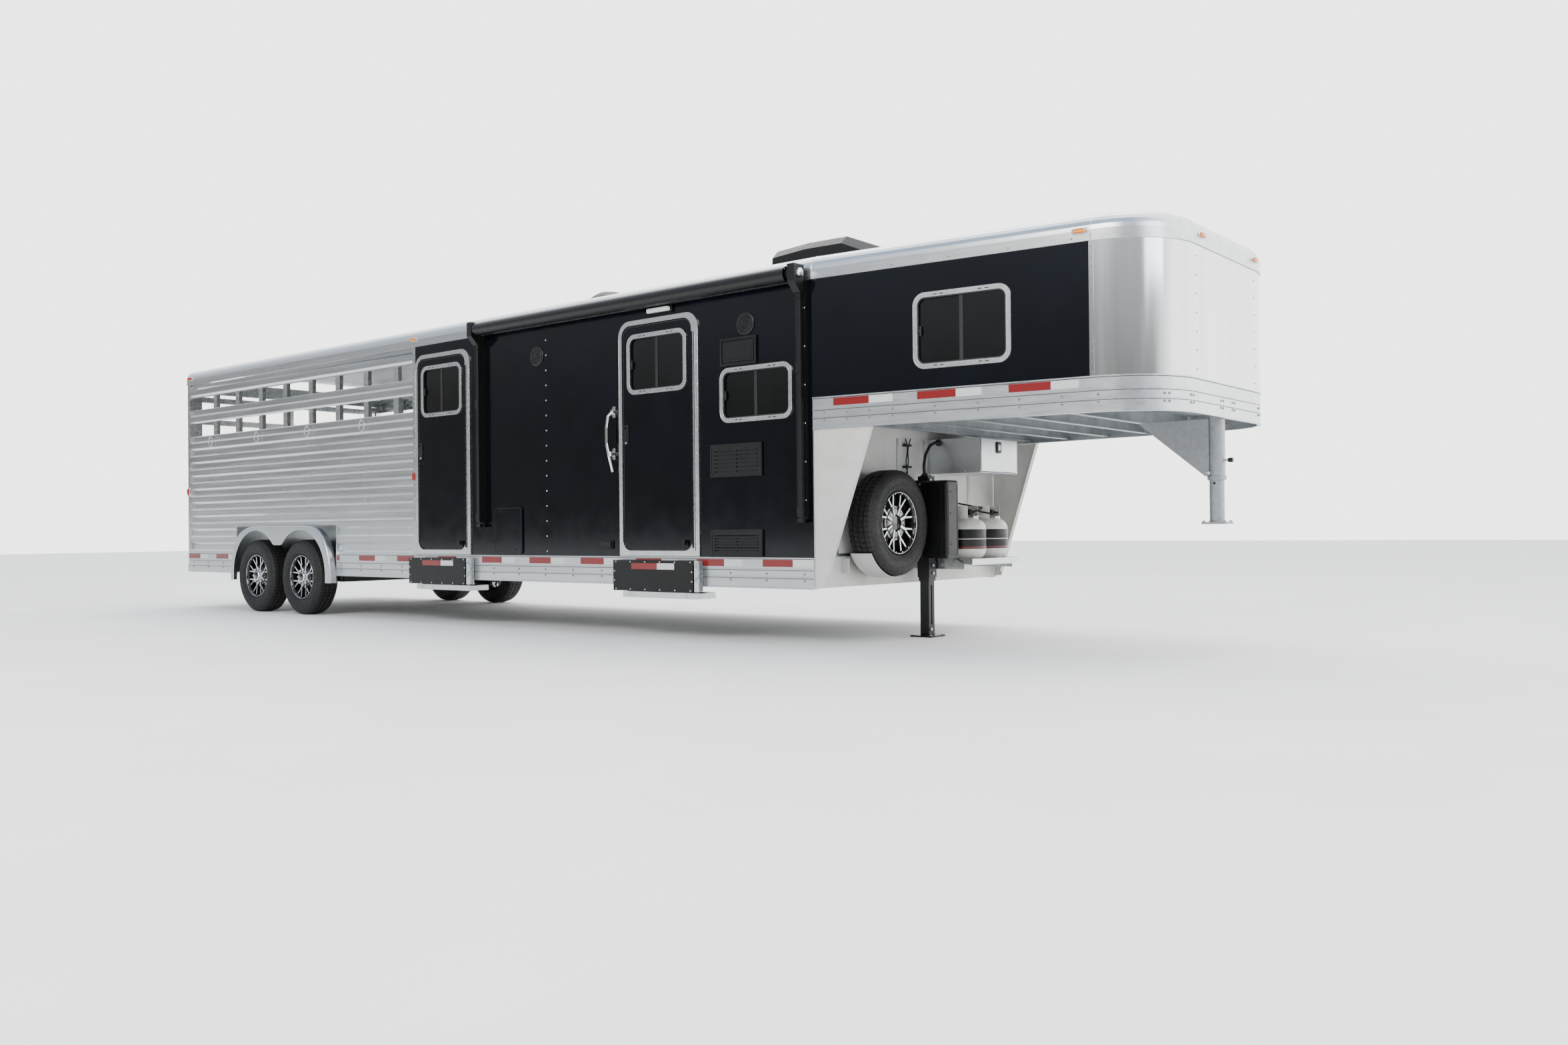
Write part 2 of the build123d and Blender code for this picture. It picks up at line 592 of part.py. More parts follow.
def coupler_post():
    """Inner post with the ball socket, lower flange and pin hole."""
    post_tube = tube((COUPLER, 0, 826), (COUPLER, 0, 1480), 46, 38)
    socket = rod((COUPLER, 0, 812), (COUPLER, 0, 900), 46)
    flange = block(COUPLER - 82, COUPLER + 82, -70, 70, 812, 826)
    flange = fillet(flange.edges().filter_by(Axis.Z), 18)
    body = post_tube + socket + flange - rod((COUPLER, 0, 800), (COUPLER, 0, 874), BALL_BORE)
    body -= rod((COUPLER + 20, 0, 1215), (COUPLER + 90, 0, 1215), 9)
    body -= rod((COUPLER, -90, 1070), (COUPLER, -20, 1070), 9)
    return [body]


def coupler_pin():
    pin = rod((COUPLER + 47, 0, 1215), (COUPLER + 74, 0, 1215), 8)
    knob = rod((COUPLER + 74, 0, 1215), (COUPLER + 105, 0, 1215), 15)
    return [pin + fillet(knob.edges().filter_by(GeomType.CIRCLE), 4)]


def jack_housing():
    half = JACK_TUBE / 2
    box_tube = block(-half, half, -half, half, 412, 1190) - block(-39, 39, -39, 39, 400, 1184)
    bracket = block(DROP - 5.5, 20, -half - 6, half + 6, 900, 1160)
    bracket -= block(DROP + 2, 21, -half, half, 800, 1200)
    collar = block(-half - 6, half + 6, -half - 6, half + 6, 440, 560)
    return [box_tube + bracket + (collar - block(-39, 39, -39, 39, 300, 1184))]


def jack_leg():
    leg = block(-38, 38, -38, 38, 12, 800) - block(-32, 32, -32, 32, 12, 790)
    slot = block(20, 60, -7, 7, 90, 380)
    foot = block(-96, 96, -96, 96, 0, 12)
    return [leg - slot + fillet(foot.edges().filter_by(Axis.Z), 8)]


def pump_box():
    shell = block(52, 282, -168, -4, 585, 1150)
    return [fillet(shell.edges().filter_by(Axis.Z) + shell.faces().sort_by(Axis.Z)[-1].edges(), 18)]


def toolbox():
    back, front = DROP - 5, DROP + 457
    shell = block(back, front, 205, 762, 1215, NOSE_RAIL_LOW - 1)
    shell -= block(back + 3, front + 9, 208, 759, 1218, NOSE_RAIL_LOW - 4)
    lid = block(front + 1, front + 5, 212, 755, 1224, NOSE_RAIL_LOW - 8)
    paddle = block(front + 5.5, front + 16, 440, 490, 1370, 1445)
    rim_lip = block(front + 5, front + 5.5, 445, 485, 1375, 1440)
    return [shell], [lid + rim_lip + paddle]


def propane_rack():
    back, front = DROP + 36, DROP + 462
    tray = block(back, front, 72, 768, 533, 576) - block(back - 1, front - 4, 76, 764, 537, 600)
    arms = []
    for y in (60, 769):
        arms.append(push([(DROP - 5.5, y, 720), (DROP + 30, y, 720), (front - 60, y, 540),
                          (front - 60, y, 500), (DROP - 5.5, y, 500)], (0, 11, 0)))
    return [tray, arms[0] + arms[1] + block(DROP - 5.5, front - 60, 60, 780, 526, 532)]


def bottle(x, y):
    """Gas bottle: foot ring, domed body, valve and open collar."""
    profile = Polyline((0, 0, 560), (70, 0, 562), (128, 0, 582), (153, 0, 622), (155, 0, 660),
                       (155, 0, 780), (150, 0, 822), (124, 0, 858), (70, 0, 884), (0, 0, 892),
                       close=True)
    body = revolve(make_face(profile), axis=Axis.Z)
    body -= Pos(0, 0, 36) * scale(body, by=(0.975, 0.975, 0.95))
    foot = tube((0, 0, 538), (0, 0, 592), 100, 96)
    collar = tube((0, 0, 862), (0, 0, 968), 100, 96)
    collar -= block(20, 140, -52, 52, 892, 980) + block(-140, -60, -40, 40, 905, 945)
    valve = rod((0, 0, 880), (0, 0, 940), 14) + rod((0, 0, 940), (0, 0, 956), 24)
    return Pos(x, y, 0) * (body + foot + collar + valve)


def awning():
    """Roller tube on two arms that hinge near the floor, and the fixed channels."""
    roller_y, roller_z = -HALF_WIDTH - 88, 2530
    stations = (DROP - 3578, DROP - 68)
    roller = tube((stations[0] + 40, roller_y, roller_z), (stations[1] - 70, roller_y, roller_z), 54, 50)
    arms, channels = [], []
    for x in stations:
        arm = block(x - 22, x + 22, -HALF_WIDTH - 62, -HALF_WIDTH - 32, 888, 2470)
        head = push([(x - 30, -HALF_WIDTH - 32, 2400), (x - 30, -HALF_WIDTH - 74, 2400),
                     (x - 30, -HALF_WIDTH - 140, 2470), (x - 30, -HALF_WIDTH - 140, 2588),
                     (x - 30, -HALF_WIDTH - 32, 2588)], (60, 0, 0))
        arms.append(arm + head)
        channels.append(block(x - 34, x + 34, -HALF_WIDTH - 28, -HALF_WIDTH - 0.5, 870, 2486))
        foot = block(x - 26, x + 26, -HALF_WIDTH - 60, -HALF_WIDTH - 28, 850, 876)
        channels.append(foot)
    gudgeon = rod((stations[0] + 30, roller_y, roller_z), (stations[0] + 40, roller_y, roller_z), 30)
    other = rod((stations[1] - 70, roller_y, roller_z), (stations[1] - 30, roller_y, roller_z), 30)
    return [roller, gudgeon, other] + arms, channels


def roof_units():
    """Air conditioner shroud and the base of the roof vent."""
    x0, x1 = DROP - 1075, DROP - 20
    side = [(x0, -350, ROOF_TOP + 2), (x0 + 18, -350, 2990), (x0 + 330, -350, 3012),
            (x1 - 360, -350, 3006), (x1 - 60, -350, 2880), (x1, -350, 2780), (x1, -350, ROOF_TOP + 2)]
    shroud = push(side, (0, 700, 0))
    for face in (0, -1):
        shroud = chamfer(shroud.faces().sort_by(Axis.Y)[face].edges().sort_by(Axis.Z)[-3:], 60)
    middle = Pos(-(x0 + x1) / 2, 0, -ROOF_TOP)
    shroud -= Pos(0, 0, -8) * middle.inverse() * scale(middle * shroud, by=(0.98, 0.97, 0.97))
    vent_x = DROP - 3300
    curb = block(vent_x - 190, vent_x + 190, -190, 190, ROOF_TOP - 4, ROOF_TOP + 70)
    curb -= block(vent_x - 180, vent_x + 180, -180, 180, ROOF_TOP - 20, 2800)
    return [shroud, curb]


def vent_lid():
    """Domed lid of the roof vent, hinged along its front edge."""
    x = DROP - 3300
    base = Pos(x, 0, ROOF_TOP + 72) * Box(
        420, 420, 40, align=(Align.CENTER, Align.CENTER, Align.MIN))
    dome = loft([Pos(x, 0, ROOF_TOP + 112) * RectangleRounded(420, 420, 40),
                 Pos(x, 0, ROOF_TOP + 240) * RectangleRounded(360, 360, 90),
                 Pos(x, 0, ROOF_TOP + 330) * RectangleRounded(180, 180, 80)])
    hollow = Pos(x, 0, ROOF_TOP + 72) * Box(
        400, 400, 100, align=(Align.CENTER, Align.CENTER, Align.MIN))
    lid = fillet(base.edges().filter_by(Axis.Z), 30) + dome - hollow
    return [lid - Pos(x, 0, ROOF_TOP + 160) * Cylinder(
        150, 120, align=(Align.CENTER, Align.CENTER, Align.MIN))]


# ---------------------------------------------------------------- small fittings on the wall

def grab_handle():
    """Folding grab rail beside the main door."""
    x = DROP - 1945
    y = -HALF_WIDTH
    line = FilletPolyline((x, y - 20, 1725), (x - 12, y - 52, 1690), (x - 26, y - 56, 1600),
                          (x - 26, y - 56, 1480), (x - 6, y - 50, 1380), (x + 8, y - 26, 1262),
                          radius=[24, 60, 80, 60])
    bar = sweep(Plane(origin=line @ 0, z_dir=line % 0) * Circle(11), path=line)
    pads = [rod((x, y - 0.5, 1725), (x, y - 24, 1725), 20), rod((x - 2, y - 0.5, 1400), (x - 2, y - 44, 1400), 18)]
    return [bar + pads[0] + pads[1]]


def wall_vents():
    """Refrigerator and range vents with louvre slots."""
    vents = []
    for low, high in ((1182, 1417), (600 + 18, 808)):
        vent = block(DROP - 928, DROP - 440, -HALF_WIDTH - 14, -HALF_WIDTH - 0.5, low, high)
        for i in range(6):
            z = low + 34 + i * (high - low - 62) / 6
            vent -= block(DROP - 890, DROP - 478, -HALF_WIDTH - 20, -HALF_WIDTH - 8, z, z + 10)
        vents.append(vent)
    frame = block(DROP - 824, DROP - 484, -HALF_WIDTH - 16, -HALF_WIDTH - 0.5, 1972, 2168)
    frame -= block(DROP - 806, DROP - 502, -HALF_WIDTH - 20, -HALF_WIDTH - 4, 1990, 2150)
    return vents + [frame]


def range_flap():
    return [block(DROP - 800, DROP - 508, -HALF_WIDTH - 14, -HALF_WIDTH - 6, 1996, 2144)]


def heater_door():
    door = block(DROP - 3422, DROP - 3052, -HALF_WIDTH - 12, -HALF_WIDTH - 1, 622, 1016)
    return [fillet(door.edges().filter_by(Axis.Y), 30)]


def tie_rings():
    """Tie rings hung below the lower air openings, on one line of hinges."""
    rings = []
    for station in (-8392, -7390, -6395, -5413):
        x = DROP + station
        hoop = Pos(x, -HALF_WIDTH - 16, 1828) * Rot(90, 0, 0) * Torus(48, 5)
        eye = rod((x - 16, -HALF_WIDTH - 16, 1880), (x + 16, -HALF_WIDTH - 16, 1880), 8)
        rings.append(hoop + eye)
    return rings


def square_bar(x0, x1, y0, y1, z0, z1):
    """Hollow bar of a gate, closed at both ends."""
    return block(x0, x1, y0, y1, z0, z1) - block(x0 + 3, x1 - 3, y0 + 3, y1 - 3, z0 + 3, z1 - 3)


def rear_gate():
    """Full rear gate: hollow stiles and bars with sheet infill."""
    low, high, half = 545, 2404, 1138
    x0, x1 = REAR + 8, REAR + 46
    stiles = [square_bar(x0, x1, y - 30, y + 30, low, high) for y in (-half + 30, 0, half - 30)]
    bars, panels = [], []
    for y0, y1 in ((-half + 60, -30), (30, half - 60)):
        for z in (low, SLOT_LOW[0] - 70, 2062, high - 90):
            bars.append(square_bar(x0, x1, y0, y1, z, z + 60))
        panels.append(block(x0 + 14, x0 + 17, y0, y1, low + 60, SLOT_LOW[0] - 70))
    pin_y = half + 12
    hinge = rod((REAR - 12, pin_y, low + 40), (REAR - 12, pin_y, high - 40), 9)
    strap = block(REAR - 16, REAR - 8, half - 8, pin_y, low + 60, high - 60)
    arm = block(REAR - 16, x0, half - 8, half - 2, low + 60, high - 60)
    return stiles + bars + panels + [hinge + strap + arm]


def loom():
    """Jack hose to the toolbox, and the two wires down the drop wall."""
    hose = FilletPolyline((0, -18, 1192), (0, -30, 1262), (-4, 0, 1352), (-10, 76, 1426),
                          (-14, 150, 1448), (-14, 203, 1450), radius=[60, 110, 110, 80])
    one = FilletPolyline((-88, -70, 1470), (-88, -112, 1390), (-88, -100, 1300), (-88, -128, 1212),
                         radius=[140, 160])
    two = FilletPolyline((-100, -118, 1470), (-100, -88, 1390), (-100, -122, 1300),
                         (-100, -96, 1212), radius=[140, 160])
    pieces = []
    for line, radius in ((hose, 11), (one, 4.5), (two, 4.5)):
        pieces.append(sweep(Plane(origin=line @ 0, z_dir=line % 0) * Circle(radius), path=line))
    return pieces


# ---------------------------------------------------------------- writing the parts

os.makedirs("parts", exist_ok=True)

save("floor_rails", floor_rails())
save("floor_decks", floor_decks())
save("cross_members", cross_members())
save("roof_rail", roof_rail())
save("roof_skin", roof_skin())
save("stock_wall_right", stock_wall())
save("stock_wall_left", [left_of(piece) for piece in stock_wall()])
save("living_wall_right", living_wall([SMALL_DOOR, MAIN_DOOR]))
save("living_wall_left", [left_of(piece) for piece in living_wall([])])
save("nose_skin", nose_skin())
save("bulkheads", bulkheads())
save("rear_frame", rear_frame())

side_frame, side_fixed, side_slider = window_parts(SIDE_WINDOW)
nose_frame, nose_fixed, nose_slider = window_parts(NOSE_WINDOW, True)
save("window_frames", both([side_frame, nose_frame]))
save("window_panes", both([side_fixed, nose_fixed]) + [left_of(side_slider), left_of(nose_slider)])
save("side_window_slider", [side_slider])
save("nose_window_slider", [nose_slider])

save("door_frames", [door_frame(MAIN_DOOR), door_frame(SMALL_DOOR)])
for name, door in (("main_door", MAIN_DOOR), ("small_door", SMALL_DOOR)):
    leaf, frame, fixed, slider, hinge = door_leaf(door)
    save(name, [leaf, frame, fixed, hinge])
    save(name + "_slider", [slider])
    save(name + "_latch", [latch_paddle(door)])

housings = []
for name, (x0, x1) in step_stations().items():
    save(name + "_step", [step_panel(x0, x1)])
    housings += step_housing(x0, x1)
save("step_housings", housings)

arched, well = fenders()
save("fenders", both([arched, well]))
save("axles", axle(AXLES["front"]) + axle(AXLES["rear"]))
for place, x in AXLES.items():
    for side, y in (("right", -HALF_TRACK), ("left", HALF_TRACK)):
        save(f"tyre_{place}_{side}", [tyre(x, y, TYRE_RADIUS)])
        save(f"rim_{place}_{side}", rim(x, y, TYRE_RADIUS, -1 if y < 0 else 1))
save("spare_tyre", [tyre(*SPARE, along="X")])
save("spare_rim", rim(*SPARE, outward=1, turn=-90, hub=False))

save("coupler_tube", coupler_tube())
save("coupler_post", coupler_post())
save("coupler_pin", coupler_pin())
save("jack_housing", jack_housing())
save("jack_leg", jack_leg())
save("pump_box", pump_box())
box_shell, box_door = toolbox()
save("toolbox", box_shell)
save("toolbox_door", box_door)
save("propane_rack", propane_rack())
save("propane_bottles", [bottle(DROP + 290, 262), bottle(DROP + 290, 585)])
save("loom", loom())

arms, channels = awning()
save("awning_arms", arms)
save("awning_channels", channels)
save("roof_units", roof_units())
save("vent_lid", vent_lid())
save("grab_handle", grab_handle())
save("wall_vents", wall_vents())
save("range_flap", range_flap())
save("heater_door", heater_door())
rings = tie_rings()
save("tie_rings_right", rings)
save("tie_rings_left", [left_of(ring_piece) for ring_piece in rings])
save("rear_gate", rear_gate())
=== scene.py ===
import math
import random

import bmesh
import bpy
from mathutils import Matrix, Vector


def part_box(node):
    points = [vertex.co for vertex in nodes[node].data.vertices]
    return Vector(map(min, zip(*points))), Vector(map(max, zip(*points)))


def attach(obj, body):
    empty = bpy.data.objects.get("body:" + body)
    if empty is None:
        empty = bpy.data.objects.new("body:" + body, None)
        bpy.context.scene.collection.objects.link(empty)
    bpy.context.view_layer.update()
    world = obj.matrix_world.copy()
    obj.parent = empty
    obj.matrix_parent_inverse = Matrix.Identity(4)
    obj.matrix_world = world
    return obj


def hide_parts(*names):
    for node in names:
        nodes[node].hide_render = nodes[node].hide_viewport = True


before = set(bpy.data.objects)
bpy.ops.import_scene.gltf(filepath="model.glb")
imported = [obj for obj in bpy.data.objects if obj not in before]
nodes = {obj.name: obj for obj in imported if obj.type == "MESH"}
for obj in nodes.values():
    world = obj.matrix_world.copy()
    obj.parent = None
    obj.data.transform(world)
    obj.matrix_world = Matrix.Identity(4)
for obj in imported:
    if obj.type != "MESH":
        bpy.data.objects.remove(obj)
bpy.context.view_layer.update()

# Gooseneck stock trailer, metres.  X to the nose, Y to the left, Z up.

# ------------------------------------------------------------ places read from the frame

rail_low, rail_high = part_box("floor_rails")
roof_low, roof_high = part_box("roof_rail")
main_low, main_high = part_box("main_door")
small_low, small_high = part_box("small_door")

RAIL_HEIGHT = 0.215
ROOF_OVERHANG = 0.008
REAR = rail_low.x
NOSE = roof_high.x - ROOF_OVERHANG
RAIL_LOW = rail_low.z
RAIL_TOP = RAIL_LOW + RAIL_HEIGHT
NOSE_RAIL_TOP = rail_high.z
NOSE_RAIL_LOW = NOSE_RAIL_TOP - RAIL_HEIGHT
WALL_TOP = roof_low.z
ROOF_TOP = roof_high.z
HALF = 1.219
DROP = -0.115
STOCK_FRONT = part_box("stock_wall_right")[1].x
TAPER = math.radians(6.1)
NOSE_RADIUS = 0.485
CORNER_X = NOSE - NOSE_RADIUS
TANGENT_X = CORNER_X + NOSE_RADIUS * math.sin(TAPER)
CORNER_Y = HALF - (TANGENT_X - DROP) * math.tan(TAPER) - NOSE_RADIUS * math.cos(TAPER)
AXLES = {"front": -6.590, "rear": -7.480}
HALF_TRACK = 1.165
TYRE_RADIUS = 0.375
TYRE_HALF = 0.1125
SPARE = Vector((0.045, -0.560, 0.842))

MM = 0.001
random.seed(11)


def moved(x, y, z):
    """A plain shift, with no turn."""
    return Matrix.Translation((x, y, z))


# ------------------------------------------------------------ materials

def linear(code):
    """sRGB hex to the linear colour that the shader wants."""
    parts = [int(code[i:i + 2], 16) / 255 for i in (1, 3, 5)]
    return [c / 12.92 if c <= 0.04045 else ((c + 0.055) / 1.055) ** 2.4 for c in parts] + [1.0]


def add(tree, kind, inputs=None, **settings):
    """A node with its settings and its inputs, each a value or another node's output."""
    made = tree.nodes.new(kind)
    for key, value in settings.items():
        setattr(made, key, value)
    for key, value in (inputs or {}).items():
        if isinstance(value, bpy.types.NodeSocket):
            tree.links.new(value, made.inputs[key])
        else:
            made.inputs[key].default_value = value
    return made


def surface(name, colour, metallic=0.0, roughness=0.5, ior=None, coat=0.0):
    """A material with its shader: uniform values sit on the shader's own sockets."""
    material = bpy.data.materials.new(name)
    material.use_nodes = True
    tree = material.node_tree
    shader = tree.nodes["Principled BSDF"]
    shader.inputs["Base Color"].default_value = linear(colour)
    shader.inputs["Metallic"].default_value = metallic
    shader.inputs["Roughness"].default_value = roughness
    shader.inputs["Coat Weight"].default_value = coat
    if ior:
        shader.inputs["IOR"].default_value = ior
    return material, tree, shader


def object_space(tree, stretch=(1, 1, 1)):
    """Object coordinates in metres, stretched along an axis to draw lines out of noise."""
    where = add(tree, "ShaderNodeTexCoord")
    return add(tree, "ShaderNodeMapping", {"Vector": where.outputs["Object"], "Scale": stretch}).outputs[0]


def noise(tree, vector, size_mm, detail=3.0):
    return add(tree, "ShaderNodeTexNoise", {
        "Vector": vector, "Scale": 1000.0 / size_mm, "Detail": detail}).outputs["Fac"]


def ramp(tree, factor, low, high, start=0.3, end=0.7):
    """Two colours, or two greys for roughness, blended over a range of the factor."""
    blend = add(tree, "ShaderNodeValToRGB", {"Fac": factor})
    blend.color_ramp.elements[0].position = start
    blend.color_ramp.elements[1].position = end
    for element, value in zip(blend.color_ramp.elements, (low, high)):
        element.color = linear(value) if isinstance(value, str) else (value, value, value, 1)
    return blend.outputs["Color"]


def relief(tree, shader, height, depth_mm, strength=1.0):
    bump = add(tree, "ShaderNodeBump", {
        "Height": height, "Distance": depth_mm * MM, "Strength": strength})
    tree.links.new(bump.outputs["Normal"], shader.inputs["Normal"])


def varied(name, low, high, size_mm, rough=(0.3, 0.5), metallic=0.0, stretch=(1, 1, 1),
           bump_mm=0.0, grain_mm=2.0, ior=None, coat=0.0):
    """Colour and roughness that drift over the surface, with a fine grain in relief."""
    material, tree, shader = surface(name, low, metallic, rough[0], ior, coat)
    vector = object_space(tree, stretch)
    drift = noise(tree, vector, size_mm)
    tree.links.new(ramp(tree, drift, low, high), shader.inputs["Base Color"])
    wear = noise(tree, vector, size_mm * 0.37)
    tree.links.new(ramp(tree, wear, rough[0], rough[1]), shader.inputs["Roughness"])
    if bump_mm:
        relief(tree, shader, noise(tree, vector, grain_mm, 2.0), bump_mm)
    return material


# Extruded aluminium, clear anodised: soft satin with long die lines along the bar.
extruded = varied("extruded_aluminium", "#c3c7ca", "#d2d5d7", 60, (0.27, 0.33), 1.0,
                  (0.04, 1, 1))
# Mill-finish planks: brighter, with die lines and faint handling marks.
planks = varied("mill_planks", "#c2c6c9", "#d6d9db", 85, (0.22, 0.30), 1.0,
                (0.03, 1, 1))
# Polished nose sheet: mirror bright, with a soft upright haze from rolling.
polished = varied("polished_nose_sheet", "#cfd2d4", "#e6e7e8", 150, (0.10, 0.17), 1.0,
                  (1, 1, 0.06), bump_mm=0.04, grain_mm=140)
# Bright trim: anodised window, door and lamp frames.
trim = varied("anodised_trim", "#cdd0d2", "#d9dbdc", 90, (0.24, 0.29), 1.0)
# Bare tread plate and pressed sheet.
bare_sheet = varied("pressed_sheet", "#bfc3c6", "#cfd2d4", 240, (0.30, 0.36), 1.0,
                    (0.3, 1, 1))
# Blue-black baked enamel on flat sheet: a deep, even gloss.
enamel = varied("blue_black_enamel", "#03060b", "#060a12", 420, (0.08, 0.13), 0.0,
                ior=1.4)
# Powder coat on steel: satin black with fine pimples.
powder = varied("black_powder_coat", "#030404", "#080909", 45, (0.34, 0.44), 0.0,
                bump_mm=0.06, grain_mm=2.5, ior=1.42)
# Pale grey paint of the drop wall and gussets.
grey_paint = varied("grey_sheet_paint", "#bdbcb8", "#cccbc7", 160, (0.36, 0.5), 0.12,
                    bump_mm=0.05, grain_mm=8, ior=1.5)
# Silver paint of the neck: aluminium flake in lacquer.
silver_paint = varied("silver_lacquer", "#8b8f93", "#9a9da1", 30, (0.30, 0.40), 0.5,
                      bump_mm=0.05, grain_mm=3, ior=1.5)
# Gas bottle enamel: pale warm grey.
bottle_enamel = varied("bottle_enamel", "#c9c9c2", "#d9d9d3", 90, (0.22, 0.34), 0.0,
                       bump_mm=0.06, grain_mm=9, ior=1.5)
# Moulded ABS covers: fine spark-eroded grain.
abs_black = varied("moulded_abs", "#040506", "#090a0b", 120, (0.34, 0.44), 0.0,
                   bump_mm=0.06, grain_mm=1.6, ior=1.42)
# Tyre rubber: dark, dusty in places.
rubber = varied("tyre_rubber", "#060606", "#11100f", 55, (0.6, 0.76), 0.0,
                bump_mm=0.12, grain_mm=2.4, ior=1.52)
# Soft seals, hoses and cable sheath.
seal = varied("epdm_seal", "#0a0a0a", "#141414", 25, (0.5, 0.66), 0.0, bump_mm=0.05, ior=1.5)
# Gloss black lacquer between the machined faces of the wheels.
wheel_black = varied("wheel_lacquer", "#08090a", "#101113", 35, (0.12, 0.2), 0.0, ior=1.5, coat=0.6)
# Machined and lacquered alloy: bright with turned lines.
machined = varied("machined_alloy", "#c2c5c7", "#dfe0e1", 12, (0.16, 0.28), 1.0, bump_mm=0.03, grain_mm=1.2)
# Chrome plate.
chrome = varied("chrome_plate", "#dcdddf", "#eceded", 30, (0.04, 0.09), 1.0)
# Zinc plated fasteners and stainless screws.
zinc = varied("zinc_plate", "#b3b5b6", "#cfd0d0", 8, (0.26, 0.4), 1.0)
# Stainless screw heads, in a darker grey.
steel_screws = varied("stainless_screws", "#6e7275", "#8a8e91", 8, (0.3, 0.42), 1.0)
# Axle paint, and galvanised floor beams in shade, their grey darkened as painted shade.
axle_paint = varied("axle_paint", "#0e0f10", "#1c1d1e", 70, (0.4, 0.6), 0.0, bump_mm=0.1, grain_mm=3)
floor_metal_painted_shade = varied("floor_aluminium_painted_shade", "#8f9396", "#a8abae", 140, (0.4, 0.55), 1.0, (0.2, 1, 1))
roof_metal = varied("roof_sheet", "#d4d6d6", "#e3e4e4", 300, (0.34, 0.46), 0.85, (0.2, 1, 1),
                    bump_mm=0.15, grain_mm=180)
# Brass valve bodies.
brass = varied("valve_brass", "#a08348", "#c3a765", 12, (0.22, 0.36), 1.0)


def lens(name, colour, painted_glow):
    """Moulded lamp lens: coloured plastic with a ribbed inside, the ribs striped in a brighter colour as a
    painted glow.
    """
    material, tree, shader = surface(name, colour, 0.0, 0.12, 1.49, 0.4)
    vector = object_space(tree)
    ribs = add(tree, "ShaderNodeTexWave", {
        "Vector": vector, "Scale": 1000.0 / 9 / 6.28, "Distortion": 0.0}, bands_direction="Z")
    tree.links.new(ramp(tree, ribs.outputs["Fac"], colour, painted_glow, 0.2, 0.8), shader.inputs["Base Color"])
    relief(tree, shader, ribs.outputs["Fac"], 0.4)
    return material


amber = lens("amber_lens", "#c8640f", "#ef9a2c")
red_lens = lens("red_lens", "#7c0d0d", "#b01c18")


def tape(name, colour, pale):
    """Reflective tape: glossy film over a honeycomb a few millimetres across."""
    material, tree, shader = surface(name, colour, 0.0, 0.28, 1.5, 0.3)
    cells = add(tree, "ShaderNodeTexVoronoi", {
        "Vector": object_space(tree), "Scale": 1000.0 / 6}, feature="DISTANCE_TO_EDGE")
    tree.links.new(ramp(tree, cells.outputs["Distance"], pale, colour, 0.02, 0.09),
                   shader.inputs["Base Color"])
    return material


red_tape = tape("red_reflective", "#6e080c", "#8a1418")
white_tape = tape("white_reflective", "#cfd0cf", "#b5b7b7")


def tinted(name, colour):
    """Privacy glass: nearly black body tint with a clean gloss."""
    material, tree, shader = surface(name, colour, 0.0, 0.04, 1.52, 0.0)
    haze = noise(tree, object_space(tree), 260)
    tree.links.new(ramp(tree, haze, "#050708", "#0a0d0f"), shader.inputs["Base Color"])
    tree.links.new(ramp(tree, haze, 0.03, 0.07), shader.inputs["Roughness"])
    return material


glass = tinted("privacy_glass", "#06080a")
lamp_dome = varied("clear_lamp_dome", "#d9dcdc", "#eef0ef", 10, (0.08, 0.14), 0.0, ior=1.49)

CAD_FINISH = {
    extruded: ["floor_rails", "roof_rail"],
    planks: ["stock_wall_right", "stock_wall_left", "rear_frame", "rear_gate"],
    polished: ["nose_skin"],
    trim: ["door_frames", "window_frames", "step_housings", "propane_rack"],
    bare_sheet: ["fenders", "toolbox", "toolbox_door"],
    roof_metal: ["roof_skin"],
    enamel: ["living_wall_right", "living_wall_left", "heater_door", "main_door", "small_door"],
    floor_metal_painted_shade: ["floor_decks", "cross_members"],
    grey_paint: ["bulkheads"],
    axle_paint: ["axles"],
    powder: ["main_step", "small_step", "jack_housing", "jack_leg", "awning_channels",
             "awning_arms"],
    abs_black: ["roof_units", "vent_lid", "pump_box", "wall_vents", "range_flap",
                "main_door_latch", "small_door_latch"],
    silver_paint: ["coupler_tube", "coupler_post"],
    chrome: ["coupler_pin", "grab_handle"],
    zinc: ["tie_rings_right", "tie_rings_left"],
    glass: ["window_panes", "side_window_slider", "nose_window_slider", "main_door_slider",
            "small_door_slider"],
    seal: ["loom"],
}
for finish, names in CAD_FINISH.items():
    for name in names:
        mesh = nodes[name].data
        mesh.materials.clear()
        mesh.materials.append(finish)


# ------------------------------------------------------------ making and placing pieces

def piece(name, shape, finish, body, smooth=False, bevel=0.0):
    """Turn a bmesh into a piece of the object that rides on a body."""
    bmesh.ops.recalc_face_normals(shape, faces=shape.faces[:])
    mesh = bpy.data.meshes.new(name)
    shape.to_mesh(mesh)
    shape.free()
    for material in finish if isinstance(finish, (list, tuple)) else [finish]:
        mesh.materials.append(material)
    made = bpy.data.objects.new(name, mesh)
    bpy.context.scene.collection.objects.link(made)
    if bevel:
        edge = made.modifiers.new("edge", "BEVEL")
        edge.width = bevel
        edge.segments = 2
        edge.limit_method = "ANGLE"
        edge.angle_limit = math.radians(40)
    if smooth or bevel:
        for face in mesh.polygons:
            face.use_smooth = True
        mesh.set_sharp_from_angle(angle=math.radians(38))
    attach(made, body)
    return made


